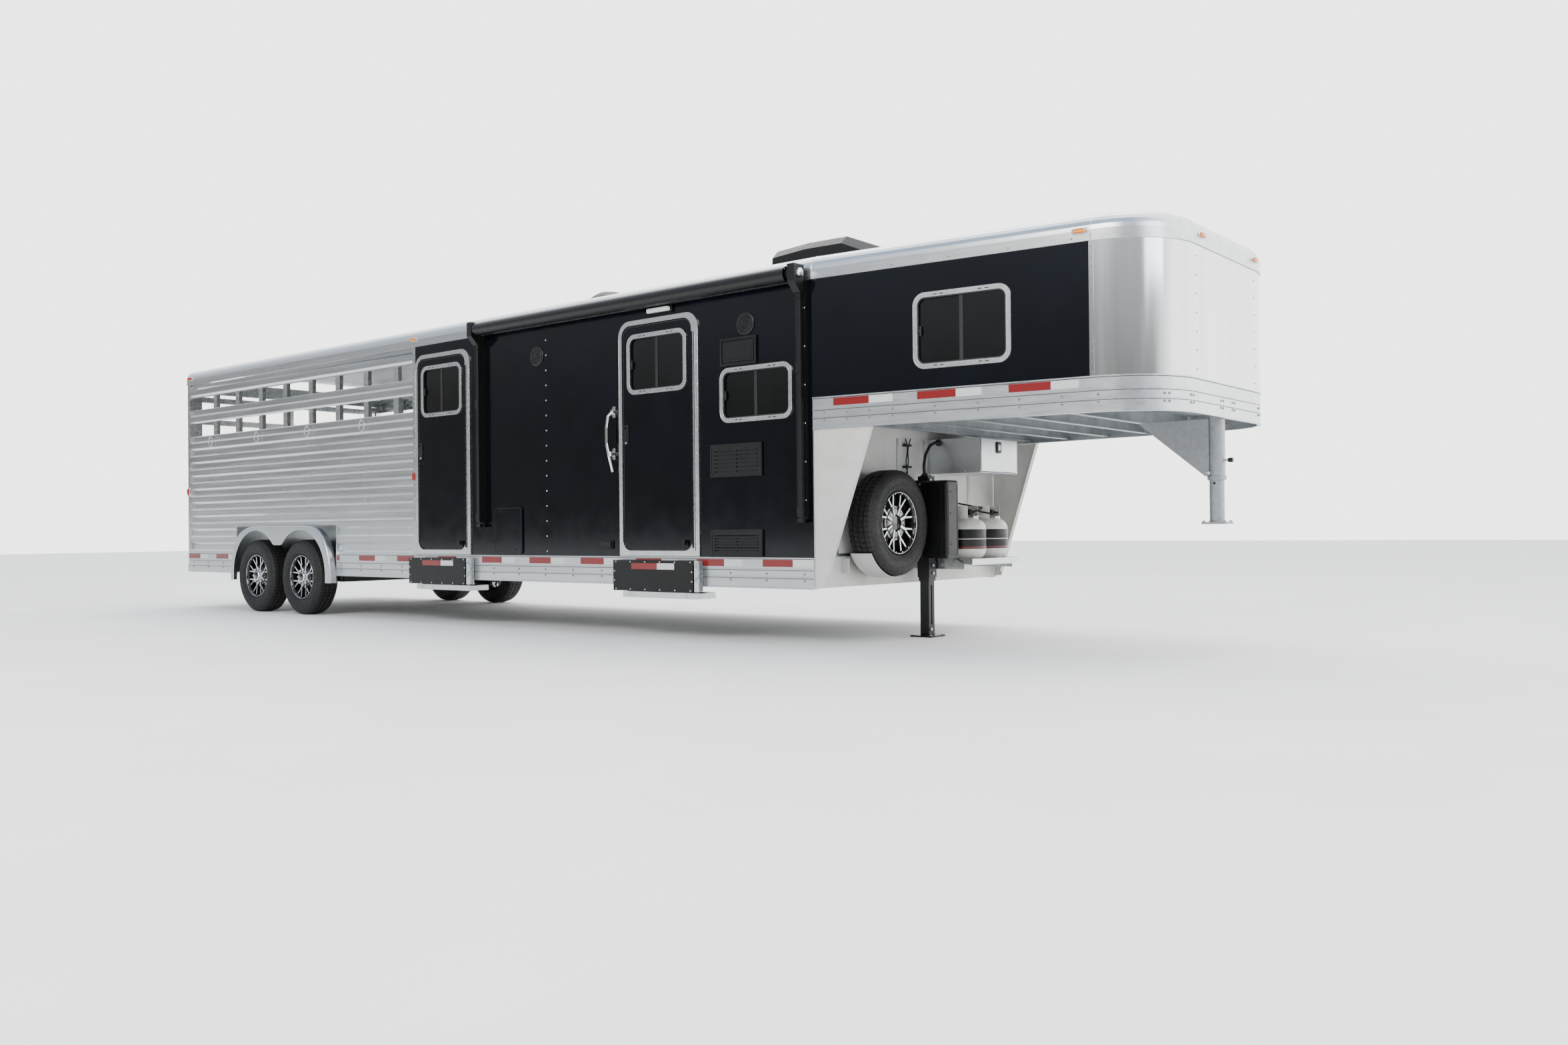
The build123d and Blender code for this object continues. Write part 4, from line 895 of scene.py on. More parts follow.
def window_dressing(name, place, width, height, body):
    """Seal, meeting bar, finger latch and drain slots over a sliding window."""
    shape = bmesh.new()
    band(shape, width - 0.064, height - 0.064, 0.050, 0.008, -0.0039, 0.0065, place, 0)
    cuboid(shape, (-0.013, -height / 2 + 0.034, -0.0039), (0.013, height / 2 - 0.034, 0.0005), place, 0)
    cuboid(shape, (-width / 2 + 0.046, -0.032, -0.0035), (-width / 2 + 0.058, 0.032, 0.005), place, 0)
    cuboid(shape, (-width / 2 + 0.044, -0.012, 0.0045), (-width / 2 + 0.060, 0.012, 0.009), place, 0)
    for x in (-0.23, 0.23):
        for side in (-1, 1):
            for shift in (-0.022, 0.022):
                centre_y = side * (height / 2 - 0.018)
                cuboid(shape, (x * width + shift - 0.013, centre_y - 0.003, 0.0098),
                       (x * width + shift + 0.013, centre_y + 0.003, 0.0106), place, 0)
    piece(name, shape, seal, body, bevel=0.0008)


def frame_lip(name, place, width, height, body):
    """Bright rolled edges of a clamp ring: a raised outer bead and an inner bead."""
    shape = bmesh.new()
    for inset, radius in ((0.001, 0.081), (0.024, 0.058)):
        band(shape, width - 2 * inset, height - 2 * inset, radius, 0.0065, 0.0098, 0.0122, place)
    piece(name, shape, trim, body, bevel=0.0009)


def door_dressing(body, low, high, width):
    """Clamp ring, lock and small fittings of an entry door."""
    left, right = low.x, high.x - 0.010
    x, z, tall = (left + right) / 2, 2.070, 0.458
    place = on_wall(x, z, 0.002)
    shape = bmesh.new()
    band(shape, width + 0.001, tall + 0.001, 0.0825, 0.0330, 0.0001, 0.0104, place)
    piece(body + "_window_ring", shape, trim, body, bevel=0.0012)
    shape = bmesh.new()
    half_pane = width / 2 - 0.034
    cuboid(shape, (0.0, -tall / 2 + 0.034, -0.0042), (half_pane, tall / 2 - 0.034, -0.0036), place)
    piece(body + "_fixed_pane", shape, glass, body)
    window_dressing(body + "_window_seal", place, width, tall, body)
    lock_x = left + 0.029
    plate = on_wall(lock_x, 1.540, 0.002)
    shape = bmesh.new()
    band(shape, 0.062, 0.150, 0.010, 0.0165, 0.0, 0.0065, plate)
    piece(body + "_lock_plate", shape, abs_black, body, bevel=0.0015)
    shape = bmesh.new()
    turned(shape, [(0.0085, 0), (0.0085, 0.003), (0.007, 0.0045), (0.003, 0.0045), (0.003, 0.0035),
                   (0, 0.0035)], on_wall(lock_x + 0.004, 1.4785, 0.0082), 16)
    piece(body + "_lock_barrel", shape, chrome, body, smooth=True)
    shape = bmesh.new()
    grip = on_wall(right - 0.075, 0.705, 0.002)
    cuboid(shape, (-0.026, -0.020, 0.0), (0.026, 0.010, 0.010), grip)
    cuboid(shape, (-0.012, -0.006, 0.009), (0.014, 0.028, 0.034), grip)
    piece(body + "_holdback", shape, abs_black, body, bevel=0.003)
    inner_w, inner_h = right - left - 0.006, high.z - low.z - 0.006
    edge = on_wall(x, (low.z + high.z) / 2, 0.002)
    shape = bmesh.new()
    band(shape, inner_w, inner_h, 0.079, 0.007, 0.0, 0.0028, edge)
    piece(body + "_edge_seal", shape, seal, body, bevel=0.0008)


def door_surround(name, x0, x1, body="trailer"):
    """Beads on the outer frame, the continuous hinge and the sill plate."""
    low, high = 0.614, 2.404
    shape = bmesh.new()
    for edge in (x0 + 0.0045, x1 - 0.0045):
        cuboid(shape, (edge - 0.003, low + 0.004, 0.0118), (edge + 0.003, high - 0.13, 0.0142),
               on_wall(0, 0))
    cuboid(shape, (x0 + 0.036, low + 0.006, 0.0118), (x1 - 0.066, low + 0.034, 0.0138), on_wall(0, 0))
    piece(name + "_frame_beads", shape, trim, body, bevel=0.0008)
    shape = bmesh.new()
    hinge_x = x1 - 0.040
    # Painted shade: a dark strip laid along the hinge gap.
    cuboid(shape, (hinge_x - 0.004, low + 0.04, 0.0119), (hinge_x + 0.002, high - 0.15, 0.0125),
           on_wall(0, 0))
    piece(name + "_hinge_gap", shape, seal, body)
    shape = bmesh.new()
    hose(shape, [(hinge_x + 0.008, low + 0.04, 0.0125), (hinge_x + 0.008, high - 0.15, 0.0125)], 0.004,
         on_wall(0, 0), 10)
    piece(name + "_hinge_barrel", shape, trim, body, smooth=True)
    places = [on_wall(hinge_x + 0.024, z, 0.012) for z in span(low + 0.08, high - 0.2, 0.16)]
    dots(name + "_hinge_screws", places, zinc, body, SCREW, 8)


def openings():
    side = on_wall(-0.617, 1.763)
    nose = on_flank(0.980, 2.0615)
    for name, place, width, height in (("side_window", side, 0.668, 0.392),
                                       ("nose_window", nose, 0.670, 0.487)):
        for side_name, spot in (("right", place), ("left", mirrored(place))):
            window_dressing(f"{name}_seal_{side_name}", spot, width, height, "trailer")
            frame_lip(f"{name}_lip_{side_name}", spot, width, height, "trailer")
    door_dressing("main_door", main_low, main_high, 0.628)
    door_dressing("small_door", small_low, small_high, 0.598)
    door_surround("main_door", -1.995, -1.157)
    door_surround("small_door", -4.665, -3.863)


# ------------------------------------------------------------ wall fittings

def wall_fittings():
    for name, x, z in (("rear", -2.971, 2.246), ("front", -0.705, 2.259)):
        shape = bmesh.new()
        dish = [(0.082, 0.0), (0.082, 0.006), (0.078, 0.010), (0.070, 0.011), (0.066, 0.006),
                (0.052, 0.0045), (0.048, 0.008), (0.034, 0.0085), (0.031, 0.005), (0.020, 0.005),
                (0.017, 0.009), (0.0, 0.011)]
        turned(shape, dish, on_wall(x, z), 40)
        piece("speaker_" + name, shape, abs_black, "trailer", smooth=True)
    shape = bmesh.new()
    place = on_wall(-2.1465, 0.7005)
    panel(shape, rounded_outline(0.143, 0.073, 0.008, 4), 0, 0.012, place, 0, chamfer=0.003)
    panel(shape, rounded_outline(0.120, 0.055, 0.010, 4), 0.0118, 0.030, place, 0, chamfer=0.008)
    piece("outlet_cover", shape, abs_black, "trailer", smooth=True)
    shape = bmesh.new()
    for x, z in ((-3.26, 0.66), (-3.44, 0.98)):
        turned(shape, [(0.009, 0), (0.009, 0.003), (0.006, 0.004), (0, 0.004)], on_wall(x, z, 0.012), 14)
    band(shape, 0.352, 0.376, 0.026, 0.005, 0.0118, 0.0134, on_wall(-3.352, 0.819))
    piece("heater_door_screws", shape, abs_black, "heater_door", smooth=True)
    shape = bmesh.new()
    for z0, z1 in ((1.182, 1.417), (0.618, 0.808)):
        middle = on_wall(-0.799, (z0 + z1) / 2)
        band(shape, 0.478, z1 - z0 - 0.010, 0.012, 0.010, 0.0138, 0.0165, middle)
        for x in (-0.19, 0.0, 0.19):
            cuboid(shape, (x - 0.004, -(z1 - z0) / 2 + 0.03, 0.0080),
                   (x + 0.004, (z1 - z0) / 2 - 0.03, 0.0142), middle)
        for z in span(z0 + 0.034, z1 - 0.040, 0.026):
            tilt = on_wall(-0.799, z, 0.006) @ Matrix.Rotation(math.radians(-35), 4, "X")
            cuboid(shape, (-0.205, -0.009, -0.0012), (0.205, 0.009, 0.0012), tilt)
    piece("vent_louvres", shape, abs_black, "trailer", bevel=0.0008)
    shape = bmesh.new()
    cuboid(shape, (-0.12, -0.055, 0.0138), (0.12, -0.047, 0.0185), on_wall(-0.769, 2.070))
    piece("range_flap_pull", shape, abs_black, "range_flap", bevel=0.001)
    shape = bmesh.new()
    for x, z, wide in ((-2.060, 1.725, 0.017), (-2.062, 1.400, 0.015)):
        panel(shape, rounded_outline(2 * wide, 0.090, wide * 0.96, 6), 0.0002, 0.007, on_wall(x, z), 0,
              chamfer=0.002)
    piece("grab_handle_feet", shape, chrome, "trailer", smooth=True)


def steps():
    for body, (x0, x1) in STEPS.items():
        face = on_wall(0, 0, 0.056)
        rivets = [on_wall(x, z, 0.056) for x in span(x0 + 0.03, x1 - 0.03, 0.16) for z in (0.364, 0.571)]
        rivets += [on_wall(x, z, 0.056) for x in (x0 + 0.014, x1 - 0.014) for z in (0.43, 0.50)]
        dots(body + "_rivets", rivets, zinc, body)
        start = x0 + (0.205 if body == "small_step" else 0.199)
        for colour, a, b, finish in (("red", start, start + 0.274, red_tape),
                                     ("white", start + 0.274, start + 0.452, white_tape)):
            shape = bmesh.new()
            panel(shape, [(a, 0.516), (b, 0.516), (b, 0.562), (a, 0.562)], 0.0001, 0.0006, face)
            piece(f"{body}_{colour}_tape", shape, finish, body)
        shape = bmesh.new()
        cuboid(shape, (x0 + 0.002, 0.3525, 0.0), (x1 - 0.002, 0.3580, 0.0022), face)
        cuboid(shape, (x0 + 0.002, 0.5775, 0.0), (x1 - 0.002, 0.5825, 0.0022), face)
        piece(body + "_edge_lips", shape, powder, body, bevel=0.0008)
        bracket = on_wall(x1 + 0.030, 0, 0.052)
        shape = bmesh.new()
        hose(shape, [(-0.014, 0.555, 0.003), (0.010, 0.520, 0.016), (0.012, 0.470, 0.018),
                     (-0.010, 0.440, 0.004)], 0.0045, bracket, 8, 3)
        cuboid(shape, (-0.018, 0.548, 0.0), (0.006, 0.572, 0.006), bracket)
        cuboid(shape, (-0.016, 0.425, 0.0), (0.002, 0.452, 0.007), bracket)
        piece(body + "_latch", shape, zinc, "trailer", bevel=0.001)
        tray = on_wall(0, 0, 0.014)
        shape = bmesh.new()
        for x in (x0 + 0.14, x1 - 0.12):
            cuboid(shape, (x - 0.02, 0.304, 0.0), (x - 0.014, 0.330, 0.0025), tray)
            cuboid(shape, (x + 0.014, 0.304, 0.0), (x + 0.02, 0.330, 0.0025), tray)
        piece(body + "_tray_ribs", shape, trim, "trailer", bevel=0.001)


def awning_dressing():
    """Rolled fabric with its end caps and pivot caps, the ribs and bolts of the arms and the channel screws.
    """
    low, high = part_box("awning_arms")
    roller = Vector((0, low.y + 0.054, 2.530))
    x0, x1 = low.x + 0.070, high.x - 0.100
    along = axes((x0, roller.y, roller.z), (0, 0, 1), (1, 0, 0))
    length = x1 - x0
    shape = bmesh.new()
    turned(shape, [(0.053, 0.012), (0.0536, 0.014), (0.0536, length - 0.014), (0.053, length - 0.012)],
           along, 40)
    piece("awning_roll", shape, powder, "awning_arms", smooth=True)
    shape = bmesh.new()
    for a, sign in ((0.0, 1), (length, -1)):
        cap = [(0.0537, 0.0), (0.0537, 0.008 * sign), (0.0505, 0.012 * sign), (0.0505, 0.020 * sign),
               (0.0538, 0.024 * sign), (0.0538, 0.034 * sign)]
        turned(shape, [(r, a + h) for r, h in cap], along, 40)
        for k in range(4):
            spot = Matrix.Rotation(math.radians(45 + 90 * k), 4, "Z") @ moved(0.044, 0, a - 0.001 * sign)
            turned(shape, [(0.004, 0.0), (0.004, -0.003 * sign), (0, -0.004 * sign)], along @ spot, 8)
    piece("awning_end_caps", shape, trim, "awning_arms", smooth=True)
    shape = bmesh.new()
    for x, sign in ((low.x, -1), (high.x, 1)):
        boss = axes((x - 0.001 * sign, roller.y, roller.z), (0, 0, 1), (sign, 0, 0))
        turned(shape, [(0.031, 0.0), (0.031, 0.012), (0.028, 0.020), (0.018, 0.026), (0.0, 0.028)], boss, 28)
    piece("awning_pivot_caps", shape, chrome, "awning_arms", smooth=True)
    shape = bmesh.new()
    for x in (low.x + 0.030, high.x - 0.030):
        arm = on_wall(x, 0, 0.062)
        for side in (-1, 1):
            cuboid(shape, (side * 0.019 - 0.002, 0.93, 0.0), (side * 0.019 + 0.002, 2.38, 0.0026), arm)
        cuboid(shape, (-0.024, 0.905, -0.006), (0.024, 0.955, 0.004), arm)
        cuboid(shape, (-0.025, 1.86, -0.02), (0.025, 1.93, 0.006), arm)
        for z in (0.93, 1.88, 1.91, 2.36):
            turned(shape, [(0.007, 0.0), (0.007, 0.006), (0.005, 0.008), (0, 0.008)],
                   arm @ moved(0, z, 0), 6)
    piece("awning_arm_ribs", shape, powder, "awning_arms", bevel=0.0008)
    screws = [on_wall(x, z, 0.0282) for x in (low.x + 0.002, high.x - 0.002) for z in span(1.0, 2.3, 0.26)]
    dots("awning_channel_screws", screws, zinc, "trailer", SCREW, 8)


def roof_dressing():
    shape = bmesh.new()
    for side in (-1, 1):
        for k in range(6):
            z = 2.735 + 0.032 * k
            x = -1.176 + 0.003 * k
            cuboid(shape, (x, side * 0.3505 - 0.002, z), (x + 0.24, side * 0.3505 + 0.002, z + 0.012))
    for k in range(7):
        z = 2.700 + 0.033 * k
        cuboid(shape, (-1.1925 + (z - ROOF_TOP) * 0.055, -0.26, z),
               (-1.1865 + (z - ROOF_TOP) * 0.055, 0.26, z + 0.014))
    piece("cooler_louvres", shape, powder, "trailer", bevel=0.001)
    lid_low, lid_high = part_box("vent_lid")
    shape = bmesh.new()
    middle = axes(((lid_low.x + lid_high.x) / 2, 0, lid_low.z), (1, 0, 0), (0, 0, 1))
    band(shape, 0.422, 0.422, 0.032, 0.006, 0.000, 0.010, middle)
    piece("vent_lid_rim", shape, abs_black, "vent_lid", bevel=0.001)
    places = [axes((x, y, ROOF_TOP - 0.0045), (1, 0, 0), (0, 0, 1)) for y in (-1.06, 1.06)
              for x in span(REAR + 0.3, DROP - 0.3, 0.3)]
    dots("roof_skin_rivets", places, zinc, "trailer", None, 8)


# ------------------------------------------------------------ neck, jack and the bay under the nose

def jack_dressing():
    shape = bmesh.new()
    for z, x, y in ((0.47, 0.051, 0.0), (0.53, 0.051, 0.0), (1.165, 0.045, -0.022)):
        place = axes((x, y, z), (0, 1, 0), (1, 0, 0))
        turned(shape, [(0.012, 0.0), (0.012, 0.008), (0.009, 0.010), (0, 0.010)], place, 6)
    for z in (0.93, 1.0, 1.13):
        place = axes((-0.02, -0.051, z), (1, 0, 0), (0, -1, 0))
        turned(shape, [(0.010, 0.0), (0.010, 0.007), (0.007, 0.009), (0, 0.009)], place, 6)
    piece("jack_bolts", shape, zinc, "trailer", smooth=True)
    shape = bmesh.new()
    for x in (-0.08, 0.08):
        for y in (-0.08, 0.08):
            place = moved(x, y, 0.012)
            turned(shape, [(0.010, 0.0), (0.010, 0.005), (0.007, 0.007), (0, 0.007)], place, 6)
    place = axes((0.038, -0.012, 0.055), (0, 1, 0), (1, 0, 0))
    turned(shape, [(0.011, 0.0), (0.011, 0.007), (0, 0.008)], place, 12)
    piece("jack_foot_bolts", shape, zinc, "jack_leg", smooth=True)
    shape = bmesh.new()
    low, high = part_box("pump_box")
    front = axes((high.x, (low.y + high.y) / 2, (low.z + high.z) / 2), (0, 1, 0), (1, 0, 0))
    band(shape, 0.126, high.z - low.z - 0.050, 0.022, 0.004, -0.0012, 0.0022, front)
    for z in (0.045, -0.18, 0.2):
        turned(shape, [(0.006, 0.0), (0.006, 0.003), (0, 0.004)], front @ moved(-0.03, z, 0), 10)
    right = axes(((low.x + high.x) / 2, low.y, (low.z + high.z) / 2), (1, 0, 0), (0, -1, 0))
    band(shape, 0.140, high.z - low.z - 0.050, 0.022, 0.004, -0.0012, 0.0022, right)
    piece("pump_cover_ribs", shape, powder, "trailer", bevel=0.0008)
    low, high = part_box("jack_housing")
    shape = bmesh.new()
    cuboid(shape, (-0.030, -0.030, high.z - 0.001), (0.030, 0.030, high.z + 0.010))
    turned(shape, [(0.020, 0.0), (0.020, 0.018), (0.016, 0.022), (0, 0.022)],
           moved(0, -0.018, high.z + 0.001), 16)
    piece("jack_top_fitting", shape, powder, "trailer", bevel=0.0015)
    shape = bmesh.new()
    grommet = axes((-0.014, 0.1965, 1.450), (1, 0, 0), (0, -1, 0))
    turned(shape, [(0.026, -0.006), (0.026, 0.004), (0.020, 0.010), (0.0125, 0.012), (0.0115, 0.012)],
           grommet, 24)
    piece("hose_grommet", shape, seal, "trailer", smooth=True)


def box_dressing():
    low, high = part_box("toolbox_door")
    face = axes((high.x - 0.011, 0, 0), (0, 1, 0), (1, 0, 0))
    shape = bmesh.new()
    place = face @ moved(0.465, 1.4075, 0.0)
    panel(shape, rounded_outline(0.062, 0.086, 0.013, 5), -0.0035, 0.0115, place, 0, chamfer=0.003)
    piece("toolbox_latch", shape, abs_black, "toolbox_door", smooth=True)
    shape = bmesh.new()
    panel(shape, rounded_outline(0.030, 0.044, 0.006, 4), 0.0114, 0.0128, place, 0, chamfer=0.0008)
    piece("toolbox_latch_pull", shape, zinc, "toolbox_door", smooth=True)
    shape = bmesh.new()
    middle = axes((high.x - 0.0112, (low.y + high.y) / 2, (low.z + high.z) / 2), (0, 1, 0), (1, 0, 0))
    band(shape, 0.535, 0.236, 0.012, 0.006, -0.0005, 0.0018, middle)
    piece("toolbox_door_fold", shape, bare_sheet, "toolbox_door", bevel=0.0008)
    box_low, box_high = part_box("toolbox")
    rivets = [axes((x, box_low.y, z), (1, 0, 0), (0, -1, 0)) for x in span(-0.09, 0.31, 0.1)
              for z in (box_low.z + 0.012, box_high.z - 0.012)]
    dots("toolbox_rivets", rivets, zinc, "trailer", None, 8)


def gas_bottle(shape, x, y):
    """Steel bottle with a girth weld, a plain dark sleeve, foot ring, guard, valve and hand wheel."""
    place = moved(x, y, 0)
    body = [(0.0, 0.5605), (0.07, 0.562), (0.110, 0.572), (0.132, 0.588), (0.148, 0.612), (0.1545, 0.640),
            (0.155, 0.660), (0.155, 0.716), (0.1562, 0.719), (0.1562, 0.724), (0.155, 0.727), (0.155, 0.780),
            (0.1535, 0.806), (0.146, 0.832), (0.130, 0.853), (0.104, 0.870), (0.072, 0.882), (0.0, 0.889)]
    turned(shape, body, place, 56, 0)
    turned(shape, [(0.1552, 0.648), (0.1560, 0.650), (0.1560, 0.790), (0.1548, 0.793)], place, 56, 1)
    turned(shape, [(0.1562, 0.655), (0.1564, 0.656), (0.1564, 0.664), (0.1562, 0.665)], place, 56, 2)
    turned(shape, [(0.096, 0.5385), (0.100, 0.5385), (0.100, 0.592), (0.096, 0.592), (0.096, 0.5385)],
           place, 48, 0)
    for start, end, high in ((48, 132, 0.968), (228, 312, 0.968), (132, 228, 0.905), (-22, 22, 0.892)):
        wall = [(0.0968, 0.862), (0.0968, high)]
        steps_round = 14
        ring_in, ring_out = [], []
        for i in range(steps_round + 1):
            a = math.radians(start + (end - start) * i / steps_round)
            for ring, radius in ((ring_in, 0.0965), (ring_out, 0.0998)):
                ring.append([shape.verts.new(place @ Vector((radius * math.cos(a), radius * math.sin(a), z)))
                             for _, z in wall])
        for i in range(steps_round):
            for ring in (ring_in, ring_out):
                shape.faces.new([ring[i][0], ring[i + 1][0], ring[i + 1][1], ring[i][1]]).material_index = 0
            for k in (0, 1):
                shape.faces.new([ring_in[i][k], ring_in[i + 1][k], ring_out[i + 1][k],
                                 ring_out[i][k]]).material_index = 0
        for i in (0, steps_round):
            shape.faces.new([ring_in[i][0], ring_in[i][1], ring_out[i][1],
                             ring_out[i][0]]).material_index = 0
    turned(shape, [(0.016, 0.885), (0.016, 0.905), (0.012, 0.908), (0.012, 0.938),
                   (0.008, 0.940), (0.008, 0.946), (0, 0.946)], place, 20, 3)
    turned(shape, [(0.024, 0.944), (0.027, 0.948), (0.027, 0.958), (0.023, 0.962), (0, 0.962)], place, 12, 4)
    outlet = place @ axes((0.010, 0, 0.922), (0, 1, 0), (1, 0, 0))
    turned(shape, [(0.009, 0.0), (0.009, 0.014), (0.020, 0.016), (0.022, 0.020), (0.022, 0.044),
                   (0.016, 0.048), (0.009, 0.052), (0.009, 0.058)], outlet, 16, 4)


def gas_dressing():
    finishes = [bottle_enamel, abs_black, red_tape, brass, seal]
    shape = bmesh.new()
    for y in (0.262, 0.585):
        gas_bottle(shape, 0.175, y)
    bottles = piece("gas_bottles", shape, finishes, "trailer", smooth=True)
    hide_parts("propane_bottles")
    shape = bmesh.new()
    hose(shape, [(0.240, 0.262, 0.922), (0.290, 0.270, 0.935), (0.285, 0.345, 0.955), (0.20, 0.400, 0.960),
                 (0.06, 0.420, 0.985), (-0.09, 0.424, 1.010)], 0.0065)
    hose(shape, [(0.240, 0.585, 0.922), (0.295, 0.575, 0.915), (0.290, 0.500, 0.905), (0.20, 0.450, 0.925),
                 (0.06, 0.440, 0.955), (-0.09, 0.436, 0.975)], 0.0065)
    piece("gas_hoses", shape, seal, "trailer", smooth=True)
    shape = bmesh.new()
    panel(shape, rounded_outline(0.11, 0.11, 0.05, 8), 0.0, 0.030,
          axes((-0.1205, 0.43, 0.995), (0, 1, 0), (1, 0, 0)), chamfer=0.006)
    turned(shape, [(0.030, 0.0), (0.030, 0.012), (0.024, 0.016), (0, 0.016)],
           axes((-0.0915, 0.43, 0.995), (0, 1, 0), (1, 0, 0)), 20)
    piece("gas_regulator", shape, trim, "trailer", smooth=True)
    shape = bmesh.new()
    hose(shape, [(0.175, 0.4235, 0.535), (0.175, 0.4235, 0.905)], 0.005)
    cuboid(shape, (0.150, 0.345, 0.892), (0.200, 0.502, 0.897))
    turned(shape, [(0.012, 0.0), (0.012, 0.010), (0.006, 0.012), (0, 0.012)], moved(0.175, 0.4235, 0.897), 6)
    piece("bottle_hold_down", shape, zinc, "trailer", smooth=True)


def bay_dressing():
    """Panel joints and stiffeners of the drop wall, the tyre cradle and the wire clips."""
    wall_x = DROP - 0.006
    shape = bmesh.new()
    for y in (-0.99, -0.955, -0.20, 0.165, 0.80):
        cuboid(shape, (wall_x, y - 0.014, 0.63), (wall_x + 0.006, y + 0.014, 1.468))
    cuboid(shape, (wall_x, -1.16, 0.612), (wall_x + 0.004, 1.16, 0.634))
    piece("drop_wall_battens", shape, bare_sheet, "trailer", bevel=0.0015)
    places = [axes((wall_x + 0.006, y, z), (0, 1, 0), (1, 0, 0)) for y in (-0.99, -0.955, 0.165, 0.80)
              for z in span(0.66, 1.44, 0.13)]
    dots("drop_wall_rivets", places, zinc, "trailer", None, 8)
    shape = bmesh.new()
    inner, outer = TYRE_RADIUS + 0.006, TYRE_RADIUS + 0.010
    rings = []
    for i in range(15):
        a = math.radians(213 + 62 * i / 14)
        rings.append([shape.verts.new((x, SPARE.y + r * math.cos(a), SPARE.z + r * math.sin(a)))
                      for r, x in ((inner, -0.058), (outer, -0.058), (outer, 0.120), (inner, 0.120))])
    for below, above in zip(rings, rings[1:]):
        for i in range(4):
            j = (i + 1) % 4
            shape.faces.new([below[i], below[j], above[j], above[i]])
    shape.faces.new(rings[0])
    shape.faces.new(rings[-1])
    cuboid(shape, (-0.121, -0.90, 0.500), (-0.056, -0.894, 0.600))
    piece("tyre_cradle", shape, grey_paint, "trailer", bevel=0.001)
    shape = bmesh.new()
    for z in (1.42, 1.26):
        cuboid(shape, (-0.121, -0.135, z - 0.008), (-0.080, -0.066, z + 0.008))
    piece("wire_clips", shape, seal, "trailer", bevel=0.003)
    shape = bmesh.new()
    for side in (-1, 1):
        place = on_flank(DROP, 0) if side < 0 else mirrored(on_flank(DROP, 0))
        for z in span(0.72, 1.42, 0.14):
            turned(shape, RIVET, place @ moved(0.030 * (1 if side < 0 else -1), z, -0.0098), 8)
    piece("gusset_rivets", shape, zinc, "trailer", smooth=True)


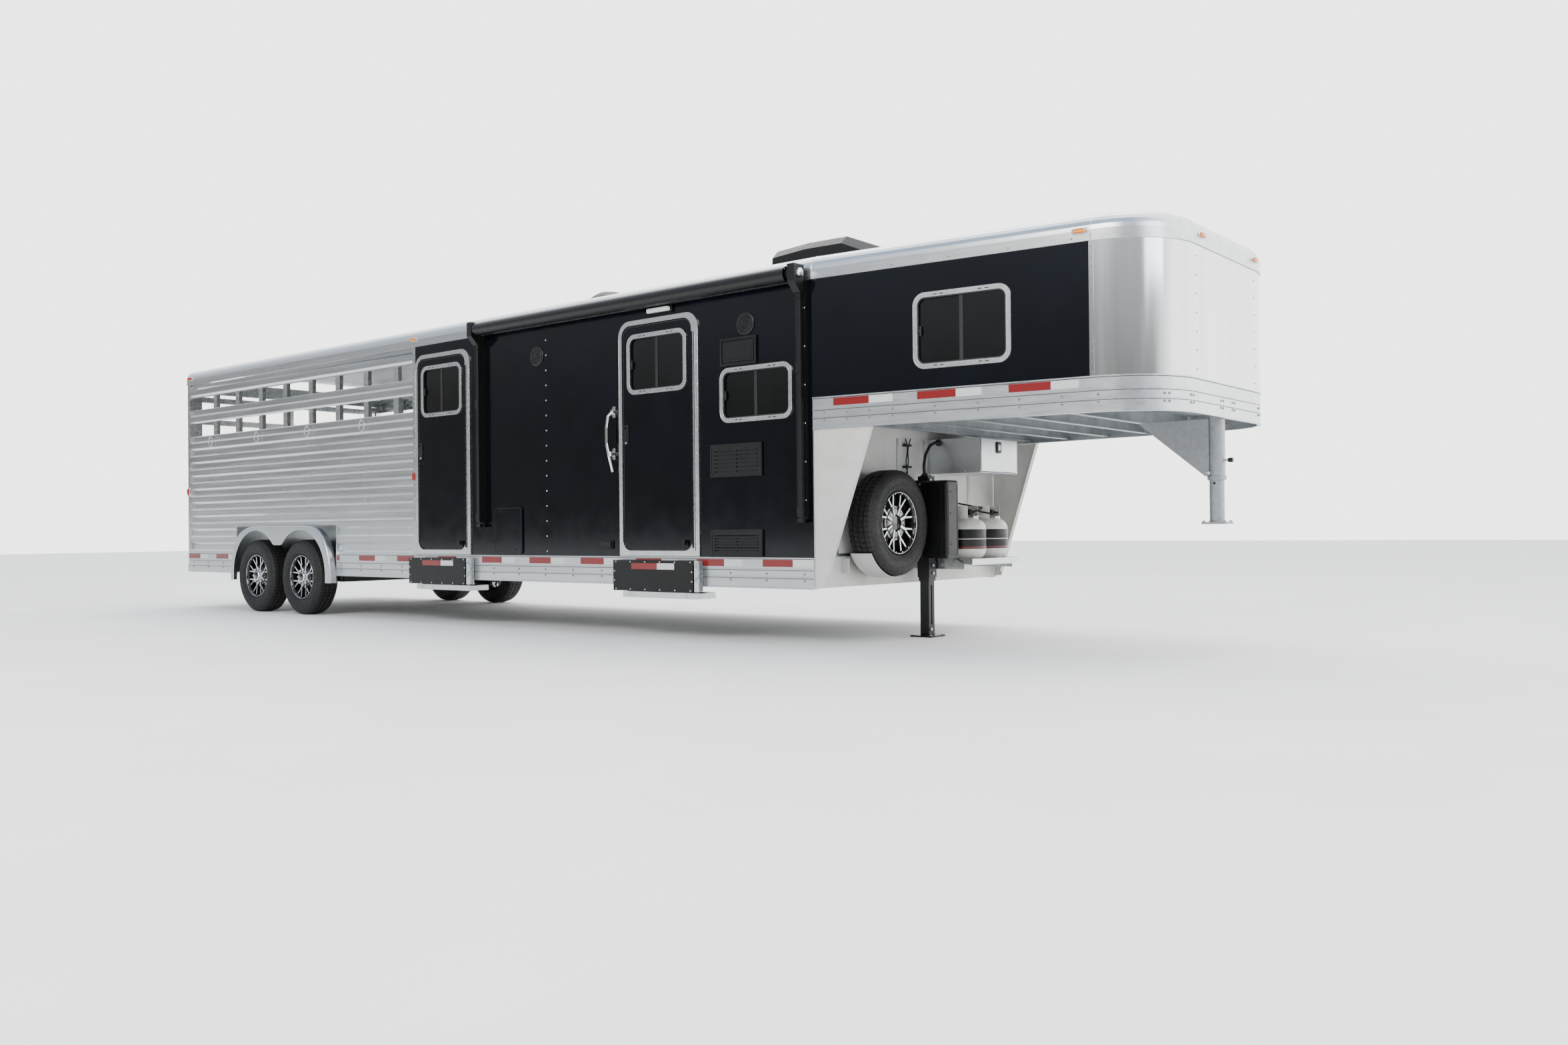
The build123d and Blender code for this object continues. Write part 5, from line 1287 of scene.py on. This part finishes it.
def neck_dressing():
    low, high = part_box("coupler_post")
    x = (low.x + high.x) / 2
    shape = bmesh.new()
    weld = [(0.0595, 1.1115), (0.0600, 1.114), (0.0565, 1.118), (0.0525, 1.119)]
    turned(shape, weld, moved(x, 0, 0), 40)
    for z in (1.098, 1.106):
        turned(shape, [(0.0582, z - 0.0015), (0.0592, z), (0.0582, z + 0.0015)], moved(x, 0, 0), 40)
    piece("neck_collar_weld", shape, silver_paint, "trailer", smooth=True)
    shape = bmesh.new()
    eye = axes((x - 0.033, -0.052, 1.135), (1, 0, 0), (0, -1, 0))
    turned(shape, [(0.013, -0.004), (0.013, 0.006), (0.009, 0.009), (0, 0.009)], eye, 6)
    ring_points = [(0.017 * math.cos(a), 0.002, 0.024 + 0.017 * math.sin(a))
                   for a in [2 * math.pi * k / 16 for k in range(17)]]
    hose(shape, ring_points, 0.0035, eye, 8, 0)
    piece("neck_eye_bolt", shape, zinc, "trailer", smooth=True)
    # Painted shade: a dark disc laid on the post where the pin hole lies in shade.
    shape = bmesh.new()
    turned(shape, [(0.0088, 0.0), (0.0088, 0.002), (0, 0.002)],
           axes((x, -0.0405, 1.070), (1, 0, 0), (0, -1, 0)), 20)
    piece("post_pin_hole", shape, seal, "coupler_post", smooth=True)
    pin_low, pin_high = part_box("coupler_pin")
    shape = bmesh.new()
    pin_line = axes((pin_low.x, 0, (pin_low.z + pin_high.z) / 2), (0, 1, 0), (1, 0, 0))
    reach = pin_high.x - pin_low.x
    neck = reach - 0.031
    turned(shape, [(0.0, 0.0002), (0.0078, 0.0002), (0.0078, neck + 0.001)], pin_line, 20, 0)
    turned(shape, [(0.0, neck), (0.012, neck), (0.0146, neck + 0.003), (0.0148, neck + 0.008),
                   (0.0136, neck + 0.013), (0.0148, neck + 0.019), (0.0144, reach - 0.004),
                   (0.011, reach - 0.0008), (0.0, reach - 0.0002)], pin_line, 28, 1)
    plunger = piece("spring_pin_and_knob", shape, [zinc, abs_black], "coupler_pin", smooth=True)
    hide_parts("coupler_pin")
    shape = bmesh.new()
    for bolt_x, bolt_y in ((-0.066, -0.054), (-0.066, 0.054), (0.066, -0.054), (0.066, 0.054)):
        place = moved(x + bolt_x, bolt_y, 0.826)
        turned(shape, [(0.010, 0.0), (0.010, 0.007), (0.007, 0.009), (0, 0.009)], place, 6)
    turned(shape, [(0.0475, 0.826), (0.0520, 0.8275), (0.0475, 0.834)], moved(x, 0, 0), 40)
    piece("post_flange_bolts", shape, silver_paint, "coupler_post", smooth=True)


# ------------------------------------------------------------ rear gate

def gate_dressing():
    back = axes((REAR + 0.008, 0, 0), (0, -1, 0), (-1, 0, 0))
    shape = bmesh.new()
    for y in (-1.10, 0.0, 1.10):
        cuboid(shape, (-y - 0.026, 0.60, 0.0), (-y - 0.020, 2.36, 0.003), back)
        cuboid(shape, (-y + 0.020, 0.60, 0.0), (-y + 0.026, 2.36, 0.003), back)
    for y in (-0.56, 0.56):
        for z in span(0.72, 1.72, 0.2):
            cuboid(shape, (-y - 0.50, z - 0.012, -0.016), (-y + 0.50, z + 0.012, -0.008), back)
    piece("gate_beads", shape, planks, "rear_gate", bevel=0.001)
    shape = bmesh.new()
    hose(shape, [(1.118, 0.66, 0.012), (1.118, 2.34, 0.012)], 0.008, back, 12)
    for z in (0.70, 1.30, 1.70, 2.30):
        cuboid(shape, (1.098, z - 0.02, 0.0), (1.136, z + 0.02, 0.010), back)
    hose(shape, [(1.118, 1.45, 0.014), (1.060, 1.44, 0.030), (0.96, 1.40, 0.034), (0.90, 1.36, 0.030)],
         0.009, back, 12)
    piece("gate_bar_latch", shape, zinc, "rear_gate", bevel=0.001)


def fender_dressing():
    """Rivets along the level top of the fenders, against the wall."""
    places = []
    middle = (FENDER_REAR + FENDER_FRONT) / 2
    for x in span(middle - 0.38, middle + 0.38, 0.19):
        places += sides([axes((x, -1.226, 0.892), (1, 0, 0), (0, 0, 1))])
    dots("fender_rivets", places, zinc, "trailer")


rail_tape()
rail_screws()
rail_shadow_lines()
wall_rivets()
roof_seams()
lamps()
openings()
wall_fittings()
steps()
awning_dressing()
roof_dressing()
jack_dressing()
box_dressing()
gas_dressing()
bay_dressing()
neck_dressing()
gate_dressing()
fender_dressing()
